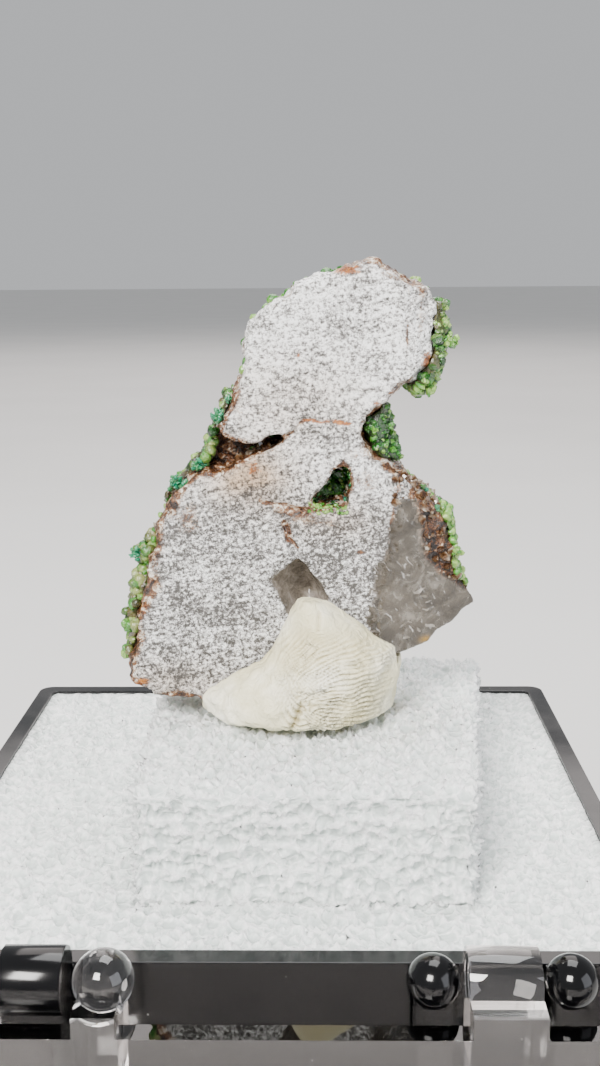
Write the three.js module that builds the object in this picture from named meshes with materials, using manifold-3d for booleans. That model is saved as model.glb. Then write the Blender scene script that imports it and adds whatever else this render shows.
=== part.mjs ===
// Conichalcite on quartz: a sawn slab of quartz with green conichalcite grown round its edges, held in putty
// on a foam block in a small hinged display box that stands open. Millimetres, +Z up. The origin is the centre
// of the tray's underside, +X is to the right seen from the sawn face, and +Y is away from that side.
import * as THREE from 'three';
import { mergeVertices } from 'three/addons/utils/BufferGeometryUtils.js';
import Module from 'manifold-3d';

const wasm = await Module();
wasm.setup();

// Driving dimensions of the display box
const BOX_WIDTH = 49;
const WALL = 1.4;
const FLOOR = 1.6;
const TRAY_HEIGHT = 42.4;
const CORNER_RADIUS = 1.2;
const RIM_GAP = 0.2;
const HINGE_OUT = 2.3;
const HINGE_UP = 0.3;
const HINGE_RELIEF = 1.4;

// Hinge fittings: the tray's knuckle is on the left and the lid's is on the right
const HINGE_X = 13.4;
const BARREL_RADIUS = 1.95;
const TRAY_BARREL_WIDTH = 3.6;
const LID_BARREL_WIDTH = 4.1;
const LID_BALL_RADIUS = 1.8;
const TRAY_BALL_RADIUS = 1.55;
const BALL_OFFSET = 3.95;
const STRAP_LENGTH = 6;

// Gap that separate pieces keep where they meet
const FIT = 0.3;

// Foam, with the block's footprint corners as [x, y], a hand cut that isn't quite square
const BLOCK_HEIGHT = 7.4;
const BLOCK_FOOTPRINT = [[-9.8, -17.2], [13.7, -17.2], [17.2, 11.9], [-10.6, 11.7]];

// The stone: its sawn face is upright, FACE_Y in front of the box's middle, and heights count from the tray's rim
const FACE_Y = -4;
const SLAB_THICKNESS = 8.4;
const SLAB_TOP_THICKNESS = 4.8;
const SLAB_HEART = [2.0, 28.5];

// The sawn face's outline as [x, height], clockwise from the top, seen from the front
const FACE_OUTLINE = [
  [4.6, 40.0], [5.6, 40.3], [7.1, 40.3], [7.5, 39.8], [8.9, 39.2], [10.3, 38.7], [10.9, 37.6],
  [11.0, 36.0], [10.8, 34.5], [10.1, 33.2], [9.4, 32.6], [8.5, 32.1], [7.5, 30.9], [6.4, 30.1],
  [5.9, 29.1], [6.1, 28.0], [6.8, 26.9], [7.7, 26.3], [8.7, 25.8], [9.4, 24.9], [10.3, 24.1],
  [11.1, 23.2], [11.8, 22.6], [12.2, 21.6], [12.4, 20.5], [12.5, 19.3], [12.8, 18.1], [13.8, 16.6],
  [14.3, 15.5], [13.3, 14.6], [11.8, 13.8], [11.0, 13.2], [9.4, 12.4], [7.6, 11.9], [5.0, 11.0],
  [1.5, 10.0], [-2.0, 9.4], [-5.0, 9.1], [-7.7, 9.1], [-9.3, 9.3], [-10.1, 10.0], [-11.0, 10.7],
  [-10.8, 12.2], [-10.4, 13.7], [-10.2, 15.0], [-9.9, 16.2], [-9.4, 17.7], [-9.3, 18.8], [-8.8, 20.4],
  [-8.5, 21.8], [-7.9, 23.2], [-7.4, 24.4], [-6.5, 25.3], [-5.4, 26.0], [-4.4, 26.6], [-4.3, 28.3],
  [-3.8, 29.4], [-3.2, 30.6], [-2.6, 31.9], [-2.2, 33.0], [-1.9, 34.0], [-2.1, 34.9], [-1.6, 36.1],
  [-0.8, 37.1], [0.3, 37.9], [1.0, 38.3], [1.5, 39.0], [3.0, 39.5],
];

// Small helpers

/** Seeded random numbers from 0 to 1. */
function randomFrom(seed) {
  let state = seed >>> 0;
  return () => {
    state = (state + 0x6d2b79f5) >>> 0;
    let t = Math.imul(state ^ (state >>> 15), 1 | state);
    t = (t + Math.imul(t ^ (t >>> 7), 61 | t)) ^ t;
    return ((t ^ (t >>> 14)) >>> 0) / 4294967296;
  };
}

/** Smooth lumpy field from -1 to 1 with bumps about `grain` mm across. */
function lumps(x, y, z, grain, phase = 0) {
  const k = (2 * Math.PI) / (2.6 * grain);
  const a = Math.sin(k * (x + 0.6 * y) + phase) * Math.cos(k * (1.13 * z - 0.35 * x) + 1.7 * phase);
  const b = Math.sin(k * (1.31 * y - 0.5 * z) + 2.3 * phase) * Math.sin(k * (0.83 * x + 0.9 * z) + 0.6);
  return 0.6 * a + 0.6 * b;
}

/** Value interpolated along a list of [input, output] pairs, held beyond its ends. */
function along(table, at) {
  if (at <= table[0][0]) return table[0][1];
  for (let i = 1; i < table.length; i += 1) {
    const [x0, y0] = table[i - 1];
    const [x1, y1] = table[i];
    if (at <= x1) return y0 + ((y1 - y0) * (at - x0)) / (x1 - x0);
  }
  return table[table.length - 1][1];
}

/** A manifold solid from a three.js geometry. */
function toSolid(geometry) {
  const plain = geometry.index ? geometry.toNonIndexed() : geometry.clone();
  plain.deleteAttribute('normal');
  plain.deleteAttribute('uv');
  const merged = mergeVertices(plain, 1e-4);
  return new wasm.Manifold(new wasm.Mesh({
    numProp: 3,
    vertProperties: new Float32Array(merged.attributes.position.array),
    triVerts: new Uint32Array(merged.index.array),
  }));
}

/** A three.js geometry from a manifold solid. */
function toGeometry(solid) {
  const mesh = solid.getMesh();
  const geometry = new THREE.BufferGeometry();
  geometry.setAttribute('position', new THREE.BufferAttribute(Float32Array.from(mesh.vertProperties), 3));
  geometry.setIndex(Array.from(mesh.triVerts));
  return geometry;
}

const join = (solids) => solids.reduce((whole, solid) => whole.add(solid));

/** A box solid from its lowest and highest corners. */
function boxSolid([x0, y0, z0], [x1, y1, z1]) {
  const geometry = new THREE.BoxGeometry(x1 - x0, y1 - y0, z1 - z0);
  geometry.translate((x0 + x1) / 2, (y0 + y1) / 2, (z0 + z1) / 2);
  return toSolid(geometry);
}

/** A closed geometry from a list of points and triangles. */
function meshOf(points, faces) {
  const geometry = new THREE.BufferGeometry();
  geometry.setAttribute('position', new THREE.BufferAttribute(new Float32Array(points.flat()), 3));
  geometry.setIndex(faces.flat());
  return geometry;
}

/** Triangles between two closed rings of the same count, the second further along. */
function bandFaces(first, second, count, flip = false) {
  const faces = [];
  for (let i = 0; i < count; i += 1) {
    const j = (i + 1) % count;
    const quad = [[first + i, first + j, second + j], [first + i, second + j, second + i]];
    quad.forEach((face) => faces.push(flip ? face.slice().reverse() : face));
  }
  return faces;
}

// Display box

/** An upright rounded square block. */
function roundedBlock(width, radius, bottom, top) {
  const half = width / 2;
  const shape = new THREE.Shape();
  shape.moveTo(-half + radius, -half);
  shape.lineTo(half - radius, -half);
  shape.absarc(half - radius, -half + radius, radius, -Math.PI / 2, 0);
  shape.absarc(half - radius, half - radius, radius, 0, Math.PI / 2);
  shape.absarc(-half + radius, half - radius, radius, Math.PI / 2, Math.PI);
  shape.absarc(-half + radius, -half + radius, radius, Math.PI, 1.5 * Math.PI);
  const geometry = new THREE.ExtrudeGeometry(shape, { depth: top - bottom, bevelEnabled: false, curveSegments: 3 });
  geometry.translate(0, 0, bottom);
  return toSolid(geometry);
}

const HINGE_Y = -BOX_WIDTH / 2 - HINGE_OUT;
const HINGE_Z = TRAY_HEIGHT + HINGE_UP;

/** A hinge barrel along X on the hinge axis. */
function barrel(x, width) {
  const geometry = new THREE.CylinderGeometry(BARREL_RADIUS, BARREL_RADIUS, width, 16);
  geometry.rotateZ(Math.PI / 2);
  geometry.translate(x, HINGE_Y, HINGE_Z);
  return toSolid(geometry);
}

/** A hinge ball on the hinge axis. */
function ball(x, radius) {
  const geometry = new THREE.SphereGeometry(radius, 12, 7);
  geometry.translate(x, HINGE_Y, HINGE_Z);
  return toSolid(geometry);
}

function makeTray() {
  const outer = roundedBlock(BOX_WIDTH, CORNER_RADIUS, 0, TRAY_HEIGHT);
  const hollow = roundedBlock(BOX_WIDTH - 2 * WALL, CORNER_RADIUS / 2, FLOOR, TRAY_HEIGHT + 1);
  const wallFace = -BOX_WIDTH / 2 + 0.4;
  const low = HINGE_Z - STRAP_LENGTH;
  const half = TRAY_BARREL_WIDTH / 2;
  const rim = TRAY_HEIGHT - 0.1;
  const web = boxSolid([-HINGE_X - half, HINGE_Y - 1.1, low], [-HINGE_X + half, wallFace, rim]);
  const stemHalf = 1.05;
  const stems = [-1, 1].map((side) => {
    const x = HINGE_X + side * BALL_OFFSET;
    return boxSolid([x - stemHalf, HINGE_Y - 0.8, low], [x + stemHalf, wallFace, rim]);
  });
  const balls = [-1, 1].map((side) => ball(HINGE_X + side * BALL_OFFSET, TRAY_BALL_RADIUS));
  const shell = outer.subtract(hollow);
  return join([shell, web, barrel(-HINGE_X, TRAY_BARREL_WIDTH), ...stems, ...balls]);
}

function makeLid() {
  const rimTop = HINGE_Z + HINGE_UP - RIM_GAP;
  const centreY = 2 * HINGE_Y;
  const outer = roundedBlock(BOX_WIDTH, CORNER_RADIUS, 0, rimTop).translate([0, centreY, 0]);
  const inside = roundedBlock(BOX_WIDTH - 2 * WALL, CORNER_RADIUS / 2, WALL, rimTop + 1);
  const hingeSide = centreY + BOX_WIDTH / 2;
  const inner = BOX_WIDTH / 2 - WALL;
  const relief = boxSolid([-inner, hingeSide - WALL - 0.5, rimTop - HINGE_RELIEF], [inner, hingeSide + 1, rimTop + 1]);
  const low = HINGE_Z - STRAP_LENGTH;
  const strapTop = rimTop - 0.1;
  const strap = (x, half) => boxSolid([x - half, hingeSide - WALL, low], [x + half, HINGE_Y + 0.9, strapTop]);
  const straps = [-1, 1].map((side) => strap(-HINGE_X + side * BALL_OFFSET, 1.2));
  const balls = [-1, 1].map((side) => ball(-HINGE_X + side * BALL_OFFSET, LID_BALL_RADIUS));
  const shell = outer.subtract(inside.translate([0, centreY, 0])).subtract(relief);
  const knuckle = barrel(HINGE_X, LID_BARREL_WIDTH);
  return join([shell, ...straps, ...balls, knuckle, strap(HINGE_X, LID_BARREL_WIDTH / 2)]);
}

// Foam

/** A foam solid on a four-cornered footprint, with a lumpy top and slightly torn sides. */
function foamSolid(corners, bottom, top, across, deep, high, roughness) {
  const points = [];
  const faces = [];
  const at = (u, v) => {
    const [a, b, c, d] = corners;
    const mix = (k) => (1 - v) * ((1 - u) * a[k] + u * b[k]) + v * ((1 - u) * d[k] + u * c[k]);
    return [mix(0), mix(1)];
  };
  const index = new Map();
  const vertex = (i, j, k) => {
    const key = `${i},${j},${k}`;
    if (!index.has(key)) {
      const [x, y] = at(i / across, j / deep);
      const z = bottom + ((top - bottom) * k) / high;
      const edgeX = (i === 0 ? 1 : 0) - (i === across ? 1 : 0);
      const edgeY = (j === 0 ? 1 : 0) - (j === deep ? 1 : 0);
      const pit = roughness * (0.5 + 0.5 * lumps(x, y, z, 1.9, 0.8));
      const drop = k === high ? pit : 0;
      const inset = k === 0 ? 0 : pit;
      index.set(key, points.length);
      points.push([x + edgeX * inset, y + edgeY * inset, z - drop]);
    }
    return index.get(key);
  };
  const quad = (a, b, c, d) => faces.push([a, b, c], [a, c, d]);
  for (let i = 0; i < across; i += 1) {
    for (let j = 0; j < deep; j += 1) {
      quad(vertex(i, j, high), vertex(i + 1, j, high), vertex(i + 1, j + 1, high), vertex(i, j + 1, high));
      quad(vertex(i, j, 0), vertex(i, j + 1, 0), vertex(i + 1, j + 1, 0), vertex(i + 1, j, 0));
    }
    for (let k = 0; k < high; k += 1) {
      quad(vertex(i, 0, k), vertex(i + 1, 0, k), vertex(i + 1, 0, k + 1), vertex(i, 0, k + 1));
      quad(vertex(i, deep, k), vertex(i, deep, k + 1), vertex(i + 1, deep, k + 1), vertex(i + 1, deep, k));
    }
  }
  for (let j = 0; j < deep; j += 1) {
    for (let k = 0; k < high; k += 1) {
      quad(vertex(0, j, k), vertex(0, j, k + 1), vertex(0, j + 1, k + 1), vertex(0, j + 1, k));
      quad(vertex(across, j, k), vertex(across, j + 1, k), vertex(across, j + 1, k + 1), vertex(across, j, k + 1));
    }
  }
  return toSolid(meshOf(points, faces));
}

function makeLiner() {
  const half = BOX_WIDTH / 2 - WALL - FIT;
  const corners = [[-half, -half], [half, -half], [half, half], [-half, half]];
  return foamSolid(corners, FLOOR + FIT, TRAY_HEIGHT - 0.1, 6, 6, 1, 0.2);
}

const BLOCK_BOTTOM = TRAY_HEIGHT + 0.2;
const BLOCK_TOP = BLOCK_BOTTOM + BLOCK_HEIGHT;

function makeBlock() {
  return foamSolid(BLOCK_FOOTPRINT, BLOCK_BOTTOM, BLOCK_TOP, 8, 10, 3, 0.45);
}

// Quartz slab

/** Outward unit normal of the face outline at each of its points. */
function outlineNormals() {
  const count = FACE_OUTLINE.length;
  return FACE_OUTLINE.map((_, i) => {
    const [x0, z0] = FACE_OUTLINE[(i + count - 1) % count];
    const [x1, z1] = FACE_OUTLINE[(i + 1) % count];
    const length = Math.hypot(x1 - x0, z1 - z0);
    return [-(z1 - z0) / length, (x1 - x0) / length];
  });
}

const NORMALS = outlineNormals();

/** Thickness of the slab at a height above the rim. */
const thicknessAt = (height) => along(
  [[9, 6.4], [13, SLAB_THICKNESS], [24, SLAB_THICKNESS], [31, 7.2], [36, 6.2], [40.3, SLAB_TOP_THICKNESS]],
  height,
);

/** The natural back surface, as how far it stands behind the sawn face. */
function backDepth(x, height, inward) {
  const dome = 1.5 * (1 - (1 - inward) ** 2);
  const ledge = 0.55 * Math.sign(lumps(x, 0, height, 3.6, 1.1)) + 0.45 * lumps(x, 2, height, 2.1, 0.4);
  return thicknessAt(height) - 1.3 + dome + ledge * Math.min(1, 3 * inward);
}

/**
 * The slab without its hollows. `grow` swells it all round, for cutting what meets it.
 * Rings run back from the sawn face over the broken edge, then in over the natural back to its heart.
 */
function slabBody(grow = 0) {
  const count = FACE_OUTLINE.length;
  const points = [];
  const faces = [];
  const edgeRings = [[0, 0], [0.5, 0.12], [2.3, 0.3], [4.3, 0.15]];
  edgeRings.forEach(([depth, bulge], ring) => {
    FACE_OUTLINE.forEach(([x, height], i) => {
      const rough = ring === 0 ? 0 : 0.34 * lumps(x, depth * 1.7, height, 1.5, ring);
      const out = bulge + rough + grow;
      const taper = depth * Math.min(1, thicknessAt(height) / SLAB_THICKNESS);
      const y = FACE_Y + taper - (ring === 0 ? grow : 0);
      points.push([x + NORMALS[i][0] * out, y, height + NORMALS[i][1] * out]);
    });
  });
  const backRings = [0.02, 0.12, 0.3, 0.52, 0.76];
  backRings.forEach((inward, ring) => {
    FACE_OUTLINE.forEach(([x, height], i) => {
      const px = x + (SLAB_HEART[0] - x) * inward;
      const pz = height + (SLAB_HEART[1] - height) * inward;
      const swell = ring < 2 ? grow : 0;
      const y = FACE_Y + backDepth(px, pz, inward) + grow;
      points.push([px + NORMALS[i][0] * swell, y, pz + NORMALS[i][1] * swell]);
    });
  });
  const rings = edgeRings.length + backRings.length;
  for (let ring = 0; ring + 1 < rings; ring += 1) {
    faces.push(...bandFaces(ring * count, (ring + 1) * count, count));
  }
  const heart = points.length;
  points.push([SLAB_HEART[0], FACE_Y + backDepth(...SLAB_HEART, 1) + grow, SLAB_HEART[1]]);
  const last = (rings - 1) * count;
  for (let i = 0; i < count; i += 1) faces.push([last + i, last + ((i + 1) % count), heart]);
  const front = FACE_OUTLINE.map((_, i) => new THREE.Vector2(points[i][0], points[i][2]));
  THREE.ShapeUtils.triangulateShape(front, []).forEach(([a, b, c]) => faces.push(orientFront(points, a, b, c)));
  return toSolid(lifted(meshOf(points, faces)));
}

/** A front-face triangle turned so that it looks towards -Y. */
function orientFront(points, a, b, c) {
  const [p, q, r] = [points[a], points[b], points[c]];
  const turn = (q[0] - p[0]) * (r[2] - p[2]) - (q[2] - p[2]) * (r[0] - p[0]);
  return turn > 0 ? [a, b, c] : [a, c, b];
}

/** A geometry whose heights count from the rim, moved to the part's frame. */
function lifted(geometry) {
  geometry.translate(0, 0, TRAY_HEIGHT);
  return geometry;
}

/**
 * A hollow that narrows from its mouth outline at the sawn face to its foot, `depth` mm behind.
 * `inset` draws its walls in by that share, for what lies inside it.
 */
function hollowSolid(mouth, depth, narrowing, lean = [0, 0], inset = 0) {
  const count = mouth.length;
  const centre = [0, 1].map((k) => mouth.reduce((sum, point) => sum + point[k], 0) / count);
  const rings = [[-1, 1.08], [0, 1], [0.45 * depth, 1 - 0.35 * narrowing], [0.85 * depth, 1 - 0.8 * narrowing]];
  const points = [];
  rings.forEach(([back, scale]) => {
    const shift = Math.max(0, back) / depth;
    mouth.forEach(([x, height]) => {
      const wobble = back > 0 ? 0.12 * lumps(x, back, height, 0.9, 2) : 0;
      const spread = (scale + wobble) * (1 - inset);
      points.push([
        centre[0] + (x - centre[0]) * spread + lean[0] * shift,
        FACE_Y + back * (1 - 0.3 * inset),
        centre[1] + (height - centre[1]) * spread + lean[1] * shift,
      ]);
    });
  });
  const faces = [];
  for (let ring = 0; ring + 1 < rings.length; ring += 1) {
    faces.push(...bandFaces(ring * count, (ring + 1) * count, count));
  }
  const nose = points.length;
  points.push([centre[0] + lean[0], FACE_Y + depth * (1 - 0.3 * inset), centre[1] + lean[1]]);
  const cap = points.length;
  points.push([centre[0], FACE_Y - 1, centre[1]]);
  const last = (rings.length - 1) * count;
  for (let i = 0; i < count; i += 1) {
    const j = (i + 1) % count;
    faces.push([last + i, last + j, nose], [j, i, cap]);
  }
  return toSolid(lifted(meshOf(points, faces)));
}

// Mouths of the hollows in the sawn face as [x, height], clockwise seen from the front
const NOTCH_MOUTH = [
  [-5.6, 29.6], [-4.2, 28.9], [-2.9, 28.2], [-1.4, 28.2], [-0.4, 28.7], [0.5, 28.6], [0.4, 28.0],
  [-0.6, 27.6], [-1.8, 27.2], [-2.9, 26.6], [-4.4, 25.9], [-6.2, 26.2],
];
const VUG_MOUTH = [
  [4.7, 26.6], [5.2, 26.0], [5.3, 24.9], [5.0, 24.0], [4.9, 23.4], [3.8, 23.3], [2.4, 23.4],
  [2.6, 24.1], [3.2, 24.9], [3.9, 26.0],
];
const VUG_DEPTH = 6.2;
const VUG_NARROWING = 0.45;
const VUG_LEAN = [0.3, 0.6];
const BOWL_MOUTH = [
  [1.3, 19.9], [2.3, 19.0], [3.1, 17.9], [3.7, 16.8], [3.6, 15.4], [2.0, 14.8], [0.6, 15.4],
  [0.0, 16.8], [-0.8, 18.1], [0.4, 19.1],
];

/** A slanting cut that removes what lies in front of the plane through three points. */
function chip(pointA, pointB, pointC) {
  const [a, b, c] = [pointA, pointB, pointC].map(([x, y, height]) => new THREE.Vector3(x, y, height + TRAY_HEIGHT));
  const normal = b.clone().sub(a).cross(c.clone().sub(a)).normalize();
  if (normal.y > 0) normal.negate();
  const size = 30;
  const geometry = new THREE.BoxGeometry(size, size, size);
  geometry.translate(0, 0, size / 2);
  geometry.applyQuaternion(new THREE.Quaternion().setFromUnitVectors(new THREE.Vector3(0, 0, 1), normal));
  geometry.translate(...a.toArray());
  return toSolid(geometry);
}

/** A quartz crystal: a six-sided prism with a six-sided point, from its foot along a direction. */
function quartzPoint(foot, direction, radius, length, turn) {
  const shank = new THREE.CylinderGeometry(radius, radius, length, 6, 1);
  shank.translate(0, length / 2, 0);
  const tip = new THREE.ConeGeometry(radius, 1.25 * radius, 6, 1);
  tip.translate(0, length + 0.625 * radius, 0);
  const solid = toSolid(shank).add(toSolid(tip));
  const geometry = toGeometry(solid);
  geometry.rotateY(turn);
  const towards = new THREE.Vector3(...direction).normalize();
  geometry.applyQuaternion(new THREE.Quaternion().setFromUnitVectors(new THREE.Vector3(0, 1, 0), towards));
  geometry.translate(...foot);
  return toSolid(lifted(geometry));
}

// Where druses of quartz points stand on the natural back, as [x, height, reach, how many]
const DRUSES = [[6.5, 35.5, 2.2, 4], [-5.5, 15.0, 3.0, 6], [9.8, 18.5, 2.4, 5]];

function makeDruse() {
  const random = randomFrom(41);
  const points = [];
  DRUSES.forEach(([x, height, reach, count]) => {
    for (let i = 0; i < count; i += 1) {
      const angle = (2 * Math.PI * i) / count + random();
      const out = reach * Math.sqrt((i + 0.6) / count);
      const px = x + out * Math.cos(angle);
      const pz = height + out * Math.sin(angle);
      const radius = 0.55 + 0.5 * random();
      const depth = FACE_Y + thicknessAt(pz) - 1.6;
      const direction = [0.6 * Math.cos(angle) + 0.3 * (random() - 0.5), 1, 0.6 * Math.sin(angle)];
      points.push(quartzPoint([px, depth, pz], direction, radius, 1.6 + 1.1 * random(), random()));
    }
  });
  return points;
}

function makeSlab() {
  const cuts = [
    hollowSolid(NOTCH_MOUTH, 3.6, 0.45, [1.2, 0.2]),
    hollowSolid([[-0.6, 28.6], [0.5, 28.7], [0.5, 28.0], [-0.6, 27.8]], 12, 0.1, [0.3, 0.2]),
    hollowSolid(VUG_MOUTH, VUG_DEPTH, VUG_NARROWING, VUG_LEAN),
    hollowSolid(BOWL_MOUTH, 2.6, 0.9, [0.6, -0.4]),
    chip([7.0, FACE_Y, 14.0], [8.4, FACE_Y, 23.4], [14.4, FACE_Y + 2.4, 17.0]),
    chip([6.6, FACE_Y, 13.4], [8.0, FACE_Y, 18.5], [12.0, FACE_Y + 2.6, 13.6]),
    chip([9.2, FACE_Y, 25.0], [9.6, FACE_Y + 0.2, 18.0], [13.6, FACE_Y + 2.2, 21.0]),
  ];
  const slab = join([slabBody(), ...makeDruse()]);
  return cuts.reduce((left, cut) => left.subtract(cut), slab);
}

// Conichalcite

/** One rounded crystal ball, faceted and turned at random. */
function spherule([x, y, height], radius, random) {
  const geometry = new THREE.IcosahedronGeometry(radius, 0);
  geometry.rotateX(2 * Math.PI * random());
  geometry.rotateZ(2 * Math.PI * random());
  geometry.translate(x, y, height + TRAY_HEIGHT);
  return toSolid(geometry);
}

/** The outward side of a path that runs clockwise round the slab. */
const outwards = (run) => new THREE.Vector3(-run.z, 0, run.x);

/** A lumpy closed pad swept along a curve: `pad` mm out from it and `deep` mm either way along Y. */
function crustPad(curve, middleY, pad, deep, phase) {
  const around = 8;
  const steps = Math.max(5, Math.round(curve.getLength() / (0.9 * pad)));
  const points = [];
  const faces = [];
  for (let i = 0; i <= steps; i += 1) {
    const at = curve.getPointAt(i / steps);
    const out = outwards(curve.getTangentAt(i / steps));
    const end = Math.sqrt(1 - (0.86 * (2 * (i / steps) - 1)) ** 4);
    for (let k = 0; k < around; k += 1) {
      const angle = (2 * Math.PI * (k + 0.5 * (i % 2))) / around;
      const size = end * (1 + 0.24 * lumps(at.x, 1.3 * deep * Math.sin(angle), at.z, 0.9, phase));
      const proud = pad * size * Math.cos(angle);
      const y = middleY + deep * size * Math.sin(angle);
      points.push([at.x + out.x * proud, y, at.z + out.z * proud + TRAY_HEIGHT]);
    }
  }
  for (let i = 0; i < steps; i += 1) faces.push(...bandFaces((i + 1) * around, i * around, around));
  const first = points.length;
  const [start, finish] = [curve.getPointAt(0), curve.getPointAt(1)];
  points.push([start.x, middleY, start.z + TRAY_HEIGHT], [finish.x, middleY, finish.z + TRAY_HEIGHT]);
  for (let k = 0; k < around; k += 1) {
    const next = (k + 1) % around;
    faces.push([k, next, first], [steps * around + next, steps * around + k, first + 1]);
  }
  return toSolid(meshOf(points, faces));
}

/**
 * A crust along a path of [x, height] points at the slab's edge, from `front` to `back` behind the face:
 * one lumpy pad, with small balls on its outer side.
 */
function edgeCrust({ path, front, back, pad, ballSize, balls, seed }) {
  const random = randomFrom(seed);
  const curve = new THREE.CatmullRomCurve3(path.map(([x, height]) => new THREE.Vector3(x, 0, height)));
  const deep = (back - front) / 2;
  const middleY = FACE_Y + front + deep;
  const solids = [crustPad(curve, middleY, pad, deep, seed)];
  for (let i = 0; i < balls; i += 1) {
    const u = (i + 0.8 * random()) / balls;
    const at = curve.getPointAt(u);
    const out = outwards(curve.getTangentAt(u));
    const round = Math.PI * (0.15 + 0.7 * ((i * 0.618) % 1));
    const side = 0.92 * pad * Math.sin(round);
    const y = middleY - 0.86 * deep * Math.cos(round);
    const radius = ballSize * (0.75 + 0.5 * random());
    solids.push(spherule([at.x + out.x * side, y, at.z + out.z * side], radius, random));
  }
  return join(solids);
}

// Each edge crust: its path runs clockwise round the slab, so its balls sit on the outer side
const EDGE_CRUSTS = {
  conichalcite_left: {
    path: [[-11.0, 12.5], [-10.8, 14.4], [-10.4, 16.2], [-9.8, 18.0], [-9.7, 19.6], [-9.4, 21.0]],
    front: 0.9, back: 5.4, pad: 0.8, ballSize: 0.52, balls: 8, seed: 7,
  },
  conichalcite_shoulder: {
    path: [[-7.9, 24.0], [-7.0, 25.2], [-5.8, 26.2], [-4.9, 27.2], [-4.6, 28.6], [-4.0, 30.0], [-3.1, 31.7]],
    front: 1.0, back: 5.0, pad: 0.65, ballSize: 0.5, balls: 7, seed: 19,
  },
  conichalcite_crown: {
    path: [[11.0, 38.0], [11.4, 36.7], [11.5, 35.2], [11.2, 33.7], [10.8, 32.3], [9.6, 31.5]],
    front: 0.7, back: 4.8, pad: 0.8, ballSize: 0.54, balls: 9, seed: 5,
  },
  conichalcite_waist: {
    path: [[7.5, 30.6], [7.2, 29.4], [7.2, 28.3], [7.6, 27.2], [8.3, 26.4]],
    front: 0.8, back: 5.6, pad: 0.9, ballSize: 0.54, balls: 8, seed: 11,
  },
  conichalcite_right: {
    path: [[12.0, 23.0], [12.6, 22.0], [12.7, 20.5], [12.9, 19.0], [13.3, 17.5], [14.0, 16.5]],
    front: 1.6, back: 5.6, pad: 0.65, ballSize: 0.46, balls: 8, seed: 23,
  },
};

// Mounds of the crust over the natural back, as [x, height, half width, half height]
const BACK_MOUNDS = [[1.2, 30.6, 3.6, 3.4], [2.6, 26.8, 3.0, 3.2], [-1.2, 24.2, 3.2, 2.3]];

/** Botryoidal crust over the middle of the natural back. */
function backCrust() {
  const random = randomFrom(57);
  const solids = [];
  BACK_MOUNDS.forEach(([x, height, halfWidth, halfHeight], mound) => {
    const base = FACE_Y + thicknessAt(height) - 0.2;
    const geometry = new THREE.IcosahedronGeometry(1, 2);
    const place = geometry.attributes.position;
    for (let i = 0; i < place.count; i += 1) {
      const [px, py, pz] = [place.getX(i) * halfWidth, place.getY(i) * 1.9, place.getZ(i) * halfHeight];
      const size = 1 + 0.22 * lumps(px, py, pz, 0.95, 1.7 * mound);
      place.setXYZ(i, x + px * size, base + py * size, height + TRAY_HEIGHT + pz * size);
    }
    solids.push(toSolid(geometry));
    for (let i = 0; i < 3; i += 1) {
      const angle = (2 * Math.PI * (i + 0.7 * random())) / 3;
      const where = [x + 0.55 * halfWidth * Math.cos(angle), base + 1.5, height + 0.55 * halfHeight * Math.sin(angle)];
      solids.push(spherule(where, 0.7 + 0.3 * random(), random));
    }
  });
  return join(solids);
}

/** The lining of small green crystals at the foot of the vug. */
function vugCrust() {
  const random = randomFrom(71);
  const seats = [[3.2, 24.0, 2.6], [4.0, 24.2, 3.4], [4.5, 25.1, 4.0], [3.9, 25.2, 4.6], [4.3, 24.4, 4.4]];
  const solids = seats.map(([x, height, depth]) => spherule([x, FACE_Y + depth, height], 0.95, random));
  return join(solids).intersect(hollowSolid(VUG_MOUTH, VUG_DEPTH, VUG_NARROWING, VUG_LEAN, 0.3));
}

// Putty

// Cross-sections of the pressed putty as [height, left x, right x, front y, back y]
const PUTTY_SECTIONS = [
  [7.9, -5.3, 7.9, -7.6, 5.6], [8.3, -6.0, 8.5, -8.0, 6.1], [9.4, -6.1, 8.8, -8.1, 6.3],
  [10.4, -5.2, 9.0, -8.0, 6.1], [11.3, -3.4, 9.1, -7.9, 5.7], [12.3, -1.7, 9.1, -7.8, 5.2],
  [13.2, -1.0, 8.9, -7.6, 5.0], [14.1, -0.4, 7.4, -7.3, 4.9], [15.1, 0.2, 6.1, -6.9, 4.8],
  [16.0, 0.5, 4.9, -6.4, 4.7], [16.8, 1.0, 3.8, -5.8, 4.5],
];

function puttyBody() {
  const around = 28;
  const points = [];
  const faces = [];
  PUTTY_SECTIONS.forEach(([height, left, right, front, back]) => {
    for (let i = 0; i < around; i += 1) {
      const angle = (2 * Math.PI * i) / around;
      const c = Math.cos(angle);
      const s = Math.sin(angle);
      const square = 0.82;
      const px = (left + right) / 2 + ((right - left) / 2) * Math.sign(c) * Math.abs(c) ** square;
      const py = (front + back) / 2 + ((back - front) / 2) * Math.sign(s) * Math.abs(s) ** square;
      const rough = 0.16 * lumps(px, py, height, 1.8, 0.3);
      points.push([px + rough * c, py + rough * s, height]);
    }
  });
  const rings = PUTTY_SECTIONS.length;
  for (let ring = 0; ring + 1 < rings; ring += 1) {
    faces.push(...bandFaces(ring * around, (ring + 1) * around, around));
  }
  const [topHeight, left, right, front] = PUTTY_SECTIONS[rings - 1];
  const top = points.length;
  points.push([(left + right) / 2, front + 3, topHeight + 0.4]);
  const foot = points.length;
  points.push([1, -1, PUTTY_SECTIONS[0][0]]);
  const last = (rings - 1) * around;
  for (let i = 0; i < around; i += 1) {
    const j = (i + 1) % around;
    faces.push([last + i, last + j, top], [j, i, foot]);
  }
  return toSolid(lifted(meshOf(points, faces)));
}

// The whole

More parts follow.
